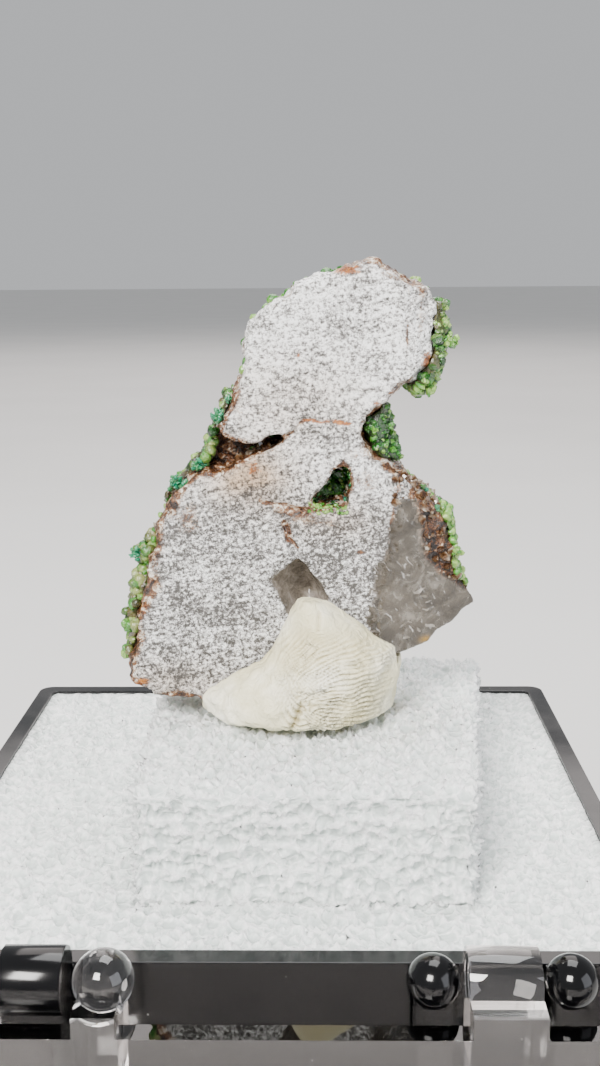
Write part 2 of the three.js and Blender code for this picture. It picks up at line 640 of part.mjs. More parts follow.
const COLOURS = {
  black: { color: 0x0b0b0c, roughness: 0.18, metalness: 0 },
  clear: { color: 0xe6e2e0, roughness: 0.08, metalness: 0, transparent: true, opacity: 0.3 },
  foam: { color: 0xeef1f2, roughness: 0.55, metalness: 0 },
  putty: { color: 0xe8e4d6, roughness: 0.6, metalness: 0 },
  quartz: { color: 0xc6c5c4, roughness: 0.6, metalness: 0 },
  green: { color: 0x4f9a4c, roughness: 0.35, metalness: 0 },
};

const group = new THREE.Group();

function addPiece(name, solid, finish) {
  const mesh = new THREE.Mesh(toGeometry(solid), new THREE.MeshStandardMaterial(COLOURS[finish]));
  mesh.name = name;
  group.add(mesh);
}

const grownSlab = join([slabBody(FIT), ...makeDruse()]);

addPiece('box_tray', makeTray(), 'black');
addPiece('box_lid', makeLid(), 'clear');
addPiece('foam_liner', makeLiner(), 'foam');
addPiece('foam_block', makeBlock(), 'foam');
addPiece('mounting_putty', puttyBody().subtract(grownSlab), 'putty');
addPiece('quartz_slab', makeSlab(), 'quartz');
Object.entries(EDGE_CRUSTS).forEach(([name, sizes]) => {
  addPiece(name, edgeCrust(sizes).subtract(grownSlab), 'green');
});
addPiece('conichalcite_back', backCrust().subtract(grownSlab), 'green');
addPiece('conichalcite_vug', vugCrust(), 'green');

export default group;
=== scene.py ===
"""Looks of a conichalcite on quartz specimen in a small hinged display box.

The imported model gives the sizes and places. This script refines the stone, its green crust, the putty, the
foam and the box, gives each its material, and sets a soft studio round them. Lengths are in metres; values in
millimetres are turned with MM.
"""

from __future__ import annotations

import logging
import math
import random
from dataclasses import dataclass, field
from enum import Enum
from typing import Callable

import bmesh
import bpy
from mathutils import Euler, Matrix, Vector, noise
from mathutils.bvhtree import BVHTree
from mathutils.kdtree import KDTree

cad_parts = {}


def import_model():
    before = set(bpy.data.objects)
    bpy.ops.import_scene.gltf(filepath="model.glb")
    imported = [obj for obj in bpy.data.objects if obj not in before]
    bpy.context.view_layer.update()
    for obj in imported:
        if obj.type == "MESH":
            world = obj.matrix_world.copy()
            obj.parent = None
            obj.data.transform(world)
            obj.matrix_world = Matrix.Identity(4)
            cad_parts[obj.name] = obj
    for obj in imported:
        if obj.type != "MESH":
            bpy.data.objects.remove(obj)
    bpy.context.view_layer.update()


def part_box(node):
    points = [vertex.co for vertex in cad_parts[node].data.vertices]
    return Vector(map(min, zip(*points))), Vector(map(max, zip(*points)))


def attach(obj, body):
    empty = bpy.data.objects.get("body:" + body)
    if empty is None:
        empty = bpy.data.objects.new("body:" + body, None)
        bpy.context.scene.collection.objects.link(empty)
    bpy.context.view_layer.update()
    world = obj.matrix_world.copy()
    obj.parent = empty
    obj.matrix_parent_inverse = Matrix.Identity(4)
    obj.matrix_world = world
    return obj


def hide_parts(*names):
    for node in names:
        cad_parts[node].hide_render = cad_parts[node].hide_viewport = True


LOG = logging.getLogger("specimen")
MM = 0.001
BASE = "base"
LID = "lid"

# Points this close are merged, faces this level are one, and edges sharper than this are rounded.
WELD = 0.002 * MM
FLAT = math.radians(1.0)
SHARP = math.radians(50)

Outline = tuple[tuple[float, float], ...]
# Seed of mathutils' vector noise. It takes the clock in place of a 0 or of no seed at all.
NOISE_SEED = 5


class Slot(Enum):
    """Material slots of the record."""

    BLACK = "black_polystyrene"
    CLEAR = "clear_polystyrene"
    FOAM = "white_foam"
    PUTTY = "cream_putty"
    QUARTZ = "sawn_quartz"
    GREEN = "conichalcite"


# Colour and shader helpers


def linear(code: str) -> tuple[float, float, float, float]:
    """Turn an sRGB hex colour such as "e8e4d6" into linear RGBA.

    Args:
        code: Six hex digits.

    Returns:
        Linear red, green, blue and an alpha of 1.
    """
    parts = [int(code[i : i + 2], 16) / 255 for i in (0, 2, 4)]
    rgb = [c / 12.92 if c <= 0.04045 else ((c + 0.055) / 1.055) ** 2.4 for c in parts]
    return (rgb[0], rgb[1], rgb[2], 1.0)


def add_node(tree: bpy.types.NodeTree, kind: str, props: dict | None = None, **inputs) -> bpy.types.Node:
    """Add a shader node with its settings and links.

    Args:
        tree: The node tree.
        kind: The node's type name, without ShaderNode.
        props: Properties set on the node.
        **inputs: Values or wires by input name, with _ for a space, or i0, i1 and so on by place.

    Returns:
        The new node.
    """
    made = tree.nodes.new("ShaderNode" + kind)
    for key, value in (props or {}).items():
        setattr(made, key, value)
    for key, value in inputs.items():
        by_place = key[0] == "i" and key[1:].isdigit()
        socket = made.inputs[int(key[1:])] if by_place else made.inputs[key.replace("_", " ")]
        if isinstance(value, Wire):
            tree.links.new(value.socket, socket)
        else:
            socket.default_value = value
    return made


class Wire:
    """Output of a shader node, whose arithmetic adds nodes."""

    def __init__(self, socket: bpy.types.NodeSocket) -> None:
        """Keep the socket and its node tree."""
        self.socket = socket
        self.tree = socket.id_data

    def maths(self, operation: str, other: Wire | float, clamp: bool = False) -> Wire:
        """One arithmetic step, held between 0 and 1 where clamp is set."""
        props = {"operation": operation, "use_clamp": clamp}
        return Wire(add_node(self.tree, "Math", props, i0=self, i1=other).outputs[0])

    def __add__(self, other: Wire | float) -> Wire:
        """Sum."""
        return self.maths("ADD", other)

    def __sub__(self, other: Wire | float) -> Wire:
        """Difference."""
        return self.maths("SUBTRACT", other)

    def __mul__(self, other: Wire | float) -> Wire:
        """Product."""
        return self.maths("MULTIPLY", other)

    def rest(self) -> Wire:
        """What is left of 1."""
        return Wire(add_node(self.tree, "Math", {"operation": "SUBTRACT"}, i0=1.0, i1=self).outputs[0])

    def span(self, low: float, high: float, first: float, last: float) -> Wire:
        """Straight map of low to high onto first to last, held at both ends."""
        made = add_node(self.tree, "MapRange", Value=self, i1=low, i2=high, i3=first, i4=last)
        return Wire(made.outputs[0])

    def ramp(self, *stops: tuple[float, str]) -> Wire:
        """Colour ramp over the value.

        Args:
            *stops: Place and sRGB hex colour of each stop, in order.

        Returns:
            The ramp's colour.
        """
        made = add_node(self.tree, "ValToRGB", Fac=self)
        elements = made.color_ramp.elements
        while len(elements) < len(stops):
            elements.new(0.5)
        for element, (place, code) in zip(elements, stops):
            element.position = place
            element.color = linear(code)
        return Wire(made.outputs["Color"])

    def blend(self, low: Wire | str, high: Wire | str, kind: str = "MIX") -> Wire:
        """Mix of two colours by the value.

        Args:
            low: Colour at 0, a wire or sRGB hex.
            high: Colour at 1, the same way.
            kind: The way of mixing.

        Returns:
            The mixed colour.
        """
        low, high = (linear(colour) if isinstance(colour, str) else colour for colour in (low, high))
        props = {"data_type": "RGBA", "blend_type": kind}
        return Wire(add_node(self.tree, "Mix", props, i0=self, i6=low, i7=high).outputs[2])


@dataclass
class Surface:
    """Material under way, with its shader and its object coordinates."""

    material: bpy.types.Material
    shader: bpy.types.Node
    place: Wire

    def node(self, kind: str, props: dict | None = None, **inputs) -> bpy.types.Node:
        """Add a node, fed with the object coordinates unless it gets others."""
        return add_node(self.material.node_tree, kind, props, **{"Vector": self.place, **inputs})

    def grains(
        self,
        size_mm: float,
        detail: float = 2.0,
        roughness: float = 0.5,
        warp: float = 0.0,
        place: Wire | None = None,
    ) -> Wire:
        """Noise whose blotches are about size_mm across.

        Args:
            size_mm: Their size.
            detail: Octaves of finer noise.
            roughness: Share of the finer octaves.
            warp: How far the noise bends itself.
            place: Coordinates, where they aren't the object's.

        Returns:
            The noise, from 0 to 1.
        """
        scale = 0.7 / (size_mm * MM)
        inputs = {"Vector": place or self.place, "Scale": scale, "Detail": detail}
        return Wire(self.node("TexNoise", None, Roughness=roughness, Distortion=warp, **inputs).outputs[0])

    def cells(self, size_mm: float, feature: str = "F1", place: Wire | None = None) -> Wire:
        """Distance in a cell pattern, to the cell's point or to its edge."""
        inputs = {"Vector": place or self.place, "Scale": 1 / (size_mm * MM)}
        return Wire(self.node("TexVoronoi", {"feature": feature}, **inputs).outputs["Distance"])

    def mapped(self, **inputs) -> Wire:
        """Coordinates turned or scaled."""
        return Wire(self.node("Mapping", None, **inputs).outputs[0])

    def mark(self, name: str) -> Wire:
        """Value of a named point attribute."""
        made = add_node(self.material.node_tree, "Attribute", {"attribute_name": name})
        return Wire(made.outputs["Fac"])

    def feed(self, name: str, wire: Wire) -> None:
        """Link a wire to one of the shader's inputs."""
        self.material.node_tree.links.new(wire.socket, self.shader.inputs[name])

    def relief(self, height: Wire, depth_mm: float, strength: float = 1.0, under: Wire | None = None) -> Wire:
        """Bump the shader, over another bump if one is given.

        Args:
            height: The bump's height, from 0 to 1.
            depth_mm: Its depth.
            strength: Its share.
            under: Normal of the bump below.

        Returns:
            The bump's normal.
        """
        inputs = {"Strength": strength, "Distance": depth_mm * MM, "Height": height}
        if under is not None:
            inputs["Normal"] = under
        normal = Wire(add_node(self.material.node_tree, "Bump", None, **inputs).outputs["Normal"])
        self.feed("Normal", normal)
        return normal


@dataclass(frozen=True)
class Finish:
    """A Principled finish that the surfaces below start from."""

    name: str
    base: str
    roughness: float
    ior: float = 1.5
    transmission: float = 0.0
    subsurface: float = 0.0
    subsurface_mm: float = 1.0
    coat: float = 0.0
    specular: float = 0.5

    def start(self) -> Surface:
        """Make the material and its shader."""
        material = bpy.data.materials.new(self.name)
        material.use_nodes = True
        shader = material.node_tree.nodes["Principled BSDF"]
        settings = {
            "Base Color": linear(self.base),
            "Roughness": self.roughness,
            "IOR": self.ior,
            "Specular IOR Level": self.specular,
            "Transmission Weight": self.transmission,
            "Subsurface Weight": self.subsurface,
            "Subsurface Radius": (1.0, 1.0, 1.0),
            "Subsurface Scale": self.subsurface_mm * MM,
            "Coat Weight": self.coat,
        }
        for name, value in settings.items():
            shader.inputs[name].default_value = value
        place = add_node(material.node_tree, "TexCoord").outputs["Object"]
        return Surface(material, shader, Wire(place))


def black_polystyrene() -> bpy.types.Material:
    """Injection-moulded general-purpose polystyrene, black: a near mirror gloss with faint rubs and dust."""
    made = Finish("moulded_black_polystyrene", "040405", 0.12, 1.59, specular=0.3).start()
    made.feed("Roughness", made.grains(6.0, 4.0, 0.6).span(0.3, 0.75, 0.07, 0.22))
    speck = made.cells(1.9).maths("LESS_THAN", 0.035)
    made.feed("Base Color", speck.blend("040405", "8f8f8c"))
    made.relief(made.grains(9.0), 0.02, 0.35)
    return made.material


def clear_polystyrene() -> bpy.types.Material:
    """Injection-moulded crystal polystyrene: clear, hard and glossy, with a slight flow ripple."""
    made = Finish("moulded_clear_polystyrene", "fdfaf9", 0.02, 1.59, 1.0).start()
    made.relief(made.grains(7.0), 0.02, 0.3)
    return made.material


def polyethylene_foam() -> bpy.types.Material:
    """Closed-cell polyethylene foam, cut and torn: white and a little translucent, its colour painted with
    highlights on the thin cell walls and shade inside the cut cells.
    """
    name = "closed_cell_polyethylene_foam"
    made = Finish(name, "f1f3f4", 0.34, 1.5, subsurface=0.7, subsurface_mm=1.3).start()
    drift = Wire(made.node("TexNoise", None, Scale=0.7 / MM, Detail=2.0).outputs["Color"])
    bend = {"operation": "MULTIPLY_ADD"}
    tree = made.material.node_tree
    bent = Wire(add_node(tree, "VectorMath", bend, i0=drift, i1=(MM, MM, MM), i2=made.place).outputs[0])
    lace = made.cells(1.15, "DISTANCE_TO_EDGE", bent).span(0.0, 0.16, 1.0, 0.0)
    fleck = (made.grains(0.4, 3.0, 0.6) - 0.5) * 1.1
    # Painted highlight on the cell walls and edges and painted shade inside the cut cells, with random
    # flecks: the ramp runs from shaded grey to white.
    painted_cell_light = made.mark("wall") * 0.5 + fleck + lace * 0.55
    made.feed("Base Color", painted_cell_light.ramp((0.0, "c9d1ce"), (0.3, "dde4e1"), (0.6, "f4f7f5"), (0.85, "ffffff")))
    film = made.relief(made.cells(0.33), 0.09, 0.5)
    ribs = made.relief(lace, 0.16, 0.8, film)
    made.relief(made.grains(0.2, 3.0, 0.65), 0.04, 0.5, ribs)
    return made.material


def mineral_putty() -> bpy.types.Material:
    """Kneaded mineral putty: creamy white, matt with a faint wax, with painted shade darkening the finger
    ridges' furrows and the folds.
    """
    name = "kneaded_mineral_putty"
    made = Finish(name, "e8dfc6", 0.5, 1.48, subsurface=0.12, subsurface_mm=0.5).start()
    tint = made.grains(2.6, 3.0).ramp((0.3, "d8cfa6"), (0.5, "e8e1c0"), (0.72, "f8f4e0"))
    # Painted shade: the colour darkens towards 9a8d62 in the furrows between the ridges and in the folds.
    furrow = made.mark("painted_groove_shade").maths("MULTIPLY", 0.85, True)
    made.feed("Base Color", furrow.blend(tint, "9a8d62"))
    wrinkle = made.relief(made.grains(0.8, 3.0, 0.6, 1.2), 0.45, 0.9)
    made.relief(made.grains(0.2, 3.0), 0.03, 0.6, wrinkle)
    return made.material


def sawn_quartz() -> bpy.types.Material:
    """Quartz cut with a diamond saw: a frosted salt and pepper of crushed grains, drawn over by saw lines.

    Iron has stained its broken rim brown and its seam orange.
    """
    made = Finish("diamond_sawn_quartz", "c4c3c2", 0.5, 1.544).start()
    turned = made.mapped(Rotation=(0.0, math.radians(11), 0.0))
    drawn = made.mapped(Vector=turned, Scale=(0.12, 1.0, 1.0))
    dragged = made.mapped(Vector=turned, Scale=(0.75, 1.0, 1.0))
    saw = made.grains(0.15, 2.0, 0.6, place=drawn)
    salt = made.grains(0.11, 3.0, 0.85, place=dragged)
    pepper = made.grains(0.17, 2.0, 0.7)
    cloud = made.grains(2.2, 4.0, 0.6, 0.4)
    stain, smooth = made.mark("stain"), made.mark("glassy")
    mixed = salt * 0.7 + pepper * 0.6 + saw * 0.25 - 0.275 + (cloud - 0.5) * 0.22 - made.mark("grey") * 0.045
    grey = (0.38, "43403d"), (0.44, "7f7c79"), (0.49, "b4b2b0")
    frost = mixed.ramp(*grey, (0.54, "dfdedc"), (0.6, "ffffff"))
    honey = made.mark("warm").maths("MULTIPLY", cloud + 0.25, True).blend(frost, "cbb094", "MULTIPLY")
    blotch = made.grains(0.45, 4.0, 0.75, 0.6)
    rusty = blotch - stain.maths("SUBTRACT", 0.9, True) * 0.1
    deep = (0.34, "150c07"), (0.41, "2e1a0d"), (0.47, "57331a")
    brown = rusty.ramp(*deep, (0.52, "7c5330"), (0.57, "b09d86"), (0.64, "ece6de"))
    edge = (stain + (salt - 0.5) * 1.5).span(0.4, 0.6, 0.0, 1.0)
    flame = blotch.ramp((0.36, "4a2204"), (0.5, "8f4c08"), (0.62, "c07a1c"))
    seam = (made.mark("rust") + (salt - 0.5) * 2.4).span(0.45, 0.7, 0.0, 0.95)
    glass = blotch.ramp((0.35, "4d463d"), (0.5, "6a6258"), (0.65, "857d73"))
    made.feed("Base Color", smooth.blend(seam.blend(edge.blend(honey, brown), flame), glass))
    gloss = mixed.span(0.4, 0.56, 0.22, 0.7) - edge * 0.25 - smooth * 0.4
    made.feed("Roughness", gloss.maths("MAXIMUM", 0.14))
    coarse = made.relief(blotch, 0.12, 0.5)
    made.relief(mixed * smooth.rest(), 0.14, 0.9, coarse)
    return made.material


def clear_quartz() -> bpy.types.Material:
    """Broken natural quartz, slightly smoky: clear and glassy, with clouded stretches."""
    made = Finish("broken_smoky_quartz", "8f8478", 0.08, 1.544, 0.62).start()
    veil = made.grains(1.3, 4.0, 0.65, 0.8)
    made.feed("Roughness", veil.span(0.35, 0.7, 0.05, 0.4))
    tint = veil.ramp((0.32, "4b4338"), (0.5, "696053"), (0.68, "a8a094"))
    turned = made.mapped(Rotation=(0.0, math.radians(-52), 0.0))
    drawn = made.mapped(Vector=turned, Scale=(0.25, 0.6, 1.0))
    flaw = made.grains(0.2, 2.0, 0.6, 0.5, drawn).span(0.63, 0.72, 0.0, 0.8)
    made.feed("Base Color", made.mark("rust").blend(flaw.blend(tint, "f6f3ee"), "e0ab35"))
    made.relief(made.grains(0.8, 3.0, 0.5, 1.0), 0.1, 0.5)
    return made.material


def fracture_veil() -> bpy.types.Material:
    """Healed fracture in quartz: a thin silvery white sheet of tiny bubbles."""
    return Finish("healed_fracture_veil", "cfc8bf", 0.3, 1.3, 0.75).start().material


def quartz_point() -> bpy.types.Material:
    """Small quartz crystals, pale and glassy with a film of iron at their feet."""
    made = Finish("drusy_quartz_points", "e2d9cd", 0.1, 1.544, 0.6).start()
    film = (0.38, "452812"), (0.5, "7a5634")
    made.feed("Base Color", made.grains(0.5).ramp(*film, (0.6, "b8a48c"), (0.7, "efe8dd")))
    return made.material


def conichalcite() -> bpy.types.Material:
    """Conichalcite: glassy green balls and druses of tiny needles, from bottle green to yellow-green."""
    glow = {"subsurface": 0.2, "subsurface_mm": 0.3, "coat": 0.1, "specular": 0.35}
    made = Finish("conichalcite_spherules", "3c8a34", 0.27, 1.8, 0.12, **glow).start()
    speck = made.grains(0.28, 3.0, 0.7) - 0.5
    vary = made.mark("tone") + speck * 0.9
    dark = (0.05, "061c06"), (0.25, "114611"), (0.46, "246a1e")
    colour = vary.ramp(*dark, (0.68, "4b8c2b"), (0.92, "93b75a"))
    soil = vary.ramp((0.1, "1a110a"), (0.35, "392d16"), (0.6, "5d552c"), (0.9, "8b8b57"))
    mould = made.mark("earth").maths("ADD", speck * 0.8, True)
    made.feed("Base Color", made.mark("teal").blend(mould.blend(colour, soil), "007c58"))
    lumps = made.relief(made.grains(0.3, 2.0, 0.6), 0.12, 0.7)
    made.relief(made.grains(0.12, 3.0, 0.7), 0.05, 0.9, lumps)
    return made.material


# Mesh helpers


def link(name: str, data: bpy.types.ID) -> bpy.types.Object:
    """Put an object with this data into the scene."""
    made = bpy.data.objects.new(name, data)
    bpy.context.scene.collection.objects.link(made)
    return made


def merge_flat(work: bmesh.types.BMesh) -> None:
    """Dissolve the edges inside flat faces."""
    bmesh.ops.dissolve_limit(work, angle_limit=FLAT, verts=work.verts, edges=work.edges)


def soften(work: bmesh.types.BMesh, radius_mm: float, segments: int) -> None:
    """Round the sharp edges.

    Args:
        work: The bmesh to change.
        radius_mm: How far the rounding reaches from each edge.
        segments: Steps across it.
    """
    bmesh.ops.bevel(
        work,
        geom=[edge for edge in work.edges if edge.calc_face_angle(0.0) > SHARP],
        offset=radius_mm * MM,
        offset_type="OFFSET",
        segments=segments,
        profile=0.5,
        affect="EDGES",
        clamp_overlap=True,
        material=-1,
    )


def cad_copy(node: str, whole: bool = False) -> bmesh.types.BMesh:
    """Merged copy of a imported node's triangles.

    Args:
        node: Name of the CAD node.
        whole: Whether each flat face is made one.

    Returns:
        A bmesh of the node in the part's frame.
    """
    work = bmesh.new()
    work.from_mesh(bpy.data.objects[node].data)
    bmesh.ops.remove_doubles(work, verts=work.verts, dist=WELD)
    if whole:
        merge_flat(work)
    return work


def to_object(work: bmesh.types.BMesh, name: str, smooth_deg: float | None = None) -> bpy.types.Object:
    """Turn a bmesh into a linked object and free it.

    Args:
        work: The bmesh.
        name: Name of the piece.
        smooth_deg: Shade smooth where faces meet at less than this angle, or None for flat.

    Returns:
        The object, at the origin.
    """
    mesh = bpy.data.meshes.new(name)
    for face in work.faces:
        face.smooth = smooth_deg is not None
    if smooth_deg is not None:
        limit = math.radians(smooth_deg)
        for edge in work.edges:
            edge.smooth = len(edge.link_faces) == 2 and edge.calc_face_angle(0.0) < limit
    work.to_mesh(mesh)
    work.free()
    return link(name, mesh)


class Stamp:
    """Small shape whose copies a swarm sets down, made once with bmesh."""

    def __init__(self, work: bmesh.types.BMesh) -> None:
        """Keep the points and faces of a bmesh, and free it."""
        work.verts.index_update()
        self.points = [v.co.copy() for v in work.verts]
        self.faces = [[v.index for v in f.verts] for f in work.faces]
        work.free()

    @classmethod
    def ball(cls, levels: int) -> "Stamp":
        """Ball of radius 1."""
        work = bmesh.new()
        bmesh.ops.create_icosphere(work, subdivisions=levels, radius=1.0)
        return cls(work)

    @classmethod
    def crystal(cls, prism: float) -> "Stamp":
        """Six-sided prism of radius 1 that stands on its foot and ends in a pyramid."""
        work = bmesh.new()
        made = bmesh.ops.create_cone(work, cap_ends=True, segments=6, radius1=1.0, radius2=1.0, depth=prism)
        bmesh.ops.translate(work, verts=made["verts"], vec=(0.0, 0.0, prism / 2))
        top = [f for f in work.faces if f.normal.z > 0.9]
        bmesh.ops.poke(work, faces=top, offset=1.2)
        return cls(work)


@dataclass
class Swarm:
    """Many small solids gathered into one mesh, with point attributes."""

    names: tuple[str, ...] = ()
    points: list[Vector] = field(default_factory=list)
    faces: list[list[int]] = field(default_factory=list)
    values: list[tuple[float, ...]] = field(default_factory=list)

    def add(self, stamp: Stamp, seat: Matrix, values: tuple[float, ...] = (), rough: float = 0.0) -> None:
        """Set down one copy.

        Args:
            stamp: The shape.
            seat: Its place, turn and size.
            values: Its attributes, in the order of the names.
            rough: Metres that its points stray by.
        """
        first = len(self.points)
        for point in stamp.points:
            at = seat @ point
            if rough > 0.0:
                at += noise.noise_vector(at / (0.2 * MM)) * rough
            self.points.append(at)
            self.values.append(values)
        self.faces += [[first + index for index in face] for face in stamp.faces]

    def add_bmesh(self, work: bmesh.types.BMesh, values: Callable[[bmesh.types.BMVert], tuple]) -> None:
        """Take over a bmesh, with each vertex's attributes, and free it."""
        first = len(self.points)
        work.verts.index_update()
        for vertex in work.verts:
            self.points.append(vertex.co.copy())
            self.values.append(values(vertex))
        self.faces += [[first + v.index for v in face.verts] for face in work.faces]
        work.free()

    def to_object(self, name: str, smooth_deg: float | None = None) -> bpy.types.Object:
        """Make the piece.

        Args:
            name: Name of the piece.
            smooth_deg: Shade smooth where faces meet at less than this angle, or None for flat.

        Returns:
            The object.
        """
        mesh = bpy.data.meshes.new(name)
        mesh.from_pydata(self.points, [], self.faces)
        for column, label in enumerate(self.names):
            layer = mesh.attributes.new(label, "FLOAT", "POINT")
            layer.data.foreach_set("value", [row[column] for row in self.values])
        if smooth_deg is not None:
            mesh.set_sharp_from_angle(angle=math.radians(smooth_deg))
        else:
            mesh.shade_flat()
        return link(name, mesh)


def voxel_skin(source: bpy.types.Object, voxel_mm: float, name: str) -> bpy.types.Object:
    """Even fine skin over a closed object, which it takes the place of.

    Args:
        source: A closed mesh object; it is removed.
        voxel_mm: Size of the skin's faces.
        name: Name of the new piece.

    Returns:
        The remeshed object.
    """
    modifier = source.modifiers.new("skin", "REMESH")
    modifier.mode = "VOXEL"
    modifier.voxel_size = voxel_mm * MM
    modifier.use_smooth_shade = True
    graph = bpy.context.evaluated_depsgraph_get()
    mesh = bpy.data.meshes.new_from_object(source.evaluated_get(graph))
    bpy.data.objects.remove(source)
    mesh.name = name
    return link(name, mesh)


def displace(piece: bpy.types.Object, push: Callable[[Vector, Vector], float]) -> None:
    """Move each vertex along its normal.

    Args:
        piece: The object to change.
        push: Gives metres along the normal from a vertex's place and normal.
    """
    mesh = piece.data
    moves = [(v.normal * push(v.co, v.normal)) for v in mesh.vertices]
    for vertex, move in zip(mesh.vertices, moves):
        vertex.co += move
    mesh.update()


def paint(piece: bpy.types.Object, name: str, value: Callable[[Vector, Vector], float]) -> None:
    """Store a point attribute worked out from each vertex's place and normal.

    Args:
        piece: The object to mark.
        name: Name of the attribute.
        value: Gives the attribute's value.
    """
    layer = piece.data.attributes.new(name, "FLOAT", "POINT")
    layer.data.foreach_set("value", [value(v.co, v.normal) for v in piece.data.vertices])


def smoothstep(low: float, high: float, at: float) -> float:
    """Smooth 0 to 1 between two values."""
    t = max(0.0, min(1.0, (at - low) / (high - low)))
    return t * t * (3 - 2 * t)


def lumps(at: Vector, size_mm: float) -> float:
    """Noise from about -1 to 1, with lumps of about this size."""
    return noise.noise(at / (size_mm * MM))


def bell(far: float, reach: float) -> float:
    """Share that falls off smoothly from 1, and is about a third at the reach."""
    return math.exp(-((far / reach) ** 2))


def segment_distance(px: float, pz: float, a: tuple[float, float], b: tuple[float, float]) -> float:
    """Distance in a plane from a point to a segment."""
    dx, dz = b[0] - a[0], b[1] - a[1]
    t = max(0.0, min(1.0, ((px - a[0]) * dx + (pz - a[1]) * dz) / (dx * dx + dz * dz)))
    return math.hypot(px - a[0] - t * dx, pz - a[1] - t * dz)


def path_distance(px: float, pz: float, path: Outline) -> float:
    """Distance in a plane from a point to an open path."""
    return min(segment_distance(px, pz, a, b) for a, b in zip(path, path[1:]))


def finish_piece(
    piece: bpy.types.Object, material: bpy.types.Material | None, body: str, slot: Slot, *nodes: str
) -> bpy.types.Object:
    """Dress a piece, let it ride, hide the CAD nodes that it replaces, and log its faces.

    Args:
        piece: The object.
        material: Its material, or None where it has its own already.
        body: The CAD body that it moves with.
        slot: The record's material slot; it is not used.
        *nodes: CAD nodes that it replaces.

    Returns:
        The same object.
    """
    if material is not None:
        piece.data.materials.clear()
        piece.data.materials.append(material)
    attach(piece, body)
    if nodes:
        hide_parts(*nodes)
    LOG.info("%s: %d faces on %s", piece.name, len(piece.data.polygons), body)
    return piece


# The object


@dataclass
class Datum:
    """Planes that the pieces share, read from the frame."""

    rim: float
    face_y: float

    @classmethod
    def read(cls) -> "Datum":
        """Read the tray's rim height and the sawn face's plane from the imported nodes."""
        return cls(rim=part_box("foam_liner")[1].z + 0.1 * MM, face_y=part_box("quartz_slab")[0].y)

    def on_face(self, at: Vector) -> tuple[float, float]:
        """Millimetres to the right and above the rim of a point."""
        return at.x / MM, (at.z - self.rim) / MM

    def depth(self, at: Vector) -> float:
        """Millimetres of a point behind the sawn face."""
        return (at.y - self.face_y) / MM

    def off_face(self, x: float, depth: float, height: float) -> Vector:
        """Point at these millimetres to the right, behind the sawn face and above the rim."""
        return Vector((x * MM, self.face_y + depth * MM, self.rim + height * MM))


@dataclass
class DisplayBox:
    """Black tray and clear lid, with softened moulded edges."""

    edge_mm: float = 0.14
    edge_segments: int = 2
    axis_mm: tuple[float, float] = (-26.8, 42.7)
    hinge_x_mm: float = 13.4
    ball_offset_mm: float = 3.95
    tray_ball_mm: float = 1.55
    lid_ball_mm: float = 1.8
    ball_levels: int = 4
    smooth_deg: float = 35.0
    flat_from_mm2: float = 4.0

    def ball_centres(self, middle_mm: float) -> list[Vector]:
        """Centres of the pair of hinge balls on either side of a place on the hinge axis."""
        y, z = self.axis_mm
        return [Vector((middle_mm + side * self.ball_offset_mm, y, z)) * MM for side in (-1, 1)]

    def moulding(self, node: str, name: str, middle_mm: float, ball_mm: float) -> bpy.types.Object:
        """Copy of a moulded node with its sharp edges rounded and its hinge balls made smooth.

        Args:
            node: The CAD node.
            name: Name of the piece.
            middle_mm: Where its pair of hinge balls is, along the axis.
            ball_mm: Radius of its hinge balls.

        Returns:
            The new object.
        """
        work = cad_copy(node)
        centres = self.ball_centres(middle_mm)
        radius = ball_mm * MM
        facets = [v for v in work.verts if any(abs((v.co - c).length - radius) < 2 * WELD for c in centres)]
        bmesh.ops.delete(work, geom=facets, context="VERTS")
        merge_flat(work)
        soften(work, self.edge_mm, self.edge_segments)
        for centre in centres:
            seat = Matrix.Translation(centre)
            bmesh.ops.create_icosphere(work, subdivisions=self.ball_levels, radius=radius, matrix=seat)
        made = to_object(work, name, self.smooth_deg)
        for face in made.data.polygons:
            face.use_smooth = face.area < self.flat_from_mm2 * MM**2
        return made

    def build(self) -> None:
        """Make both mouldings and put them on their bodies."""
        tray = self.moulding("box_tray", "tray_moulding", self.hinge_x_mm, self.tray_ball_mm)
        finish_piece(tray, black_polystyrene(), BASE, Slot.BLACK, "box_tray")
        lid = self.moulding("box_lid", "lid_moulding", -self.hinge_x_mm, self.lid_ball_mm)
        finish_piece(lid, clear_polystyrene(), LID, Slot.CLEAR, "box_lid")


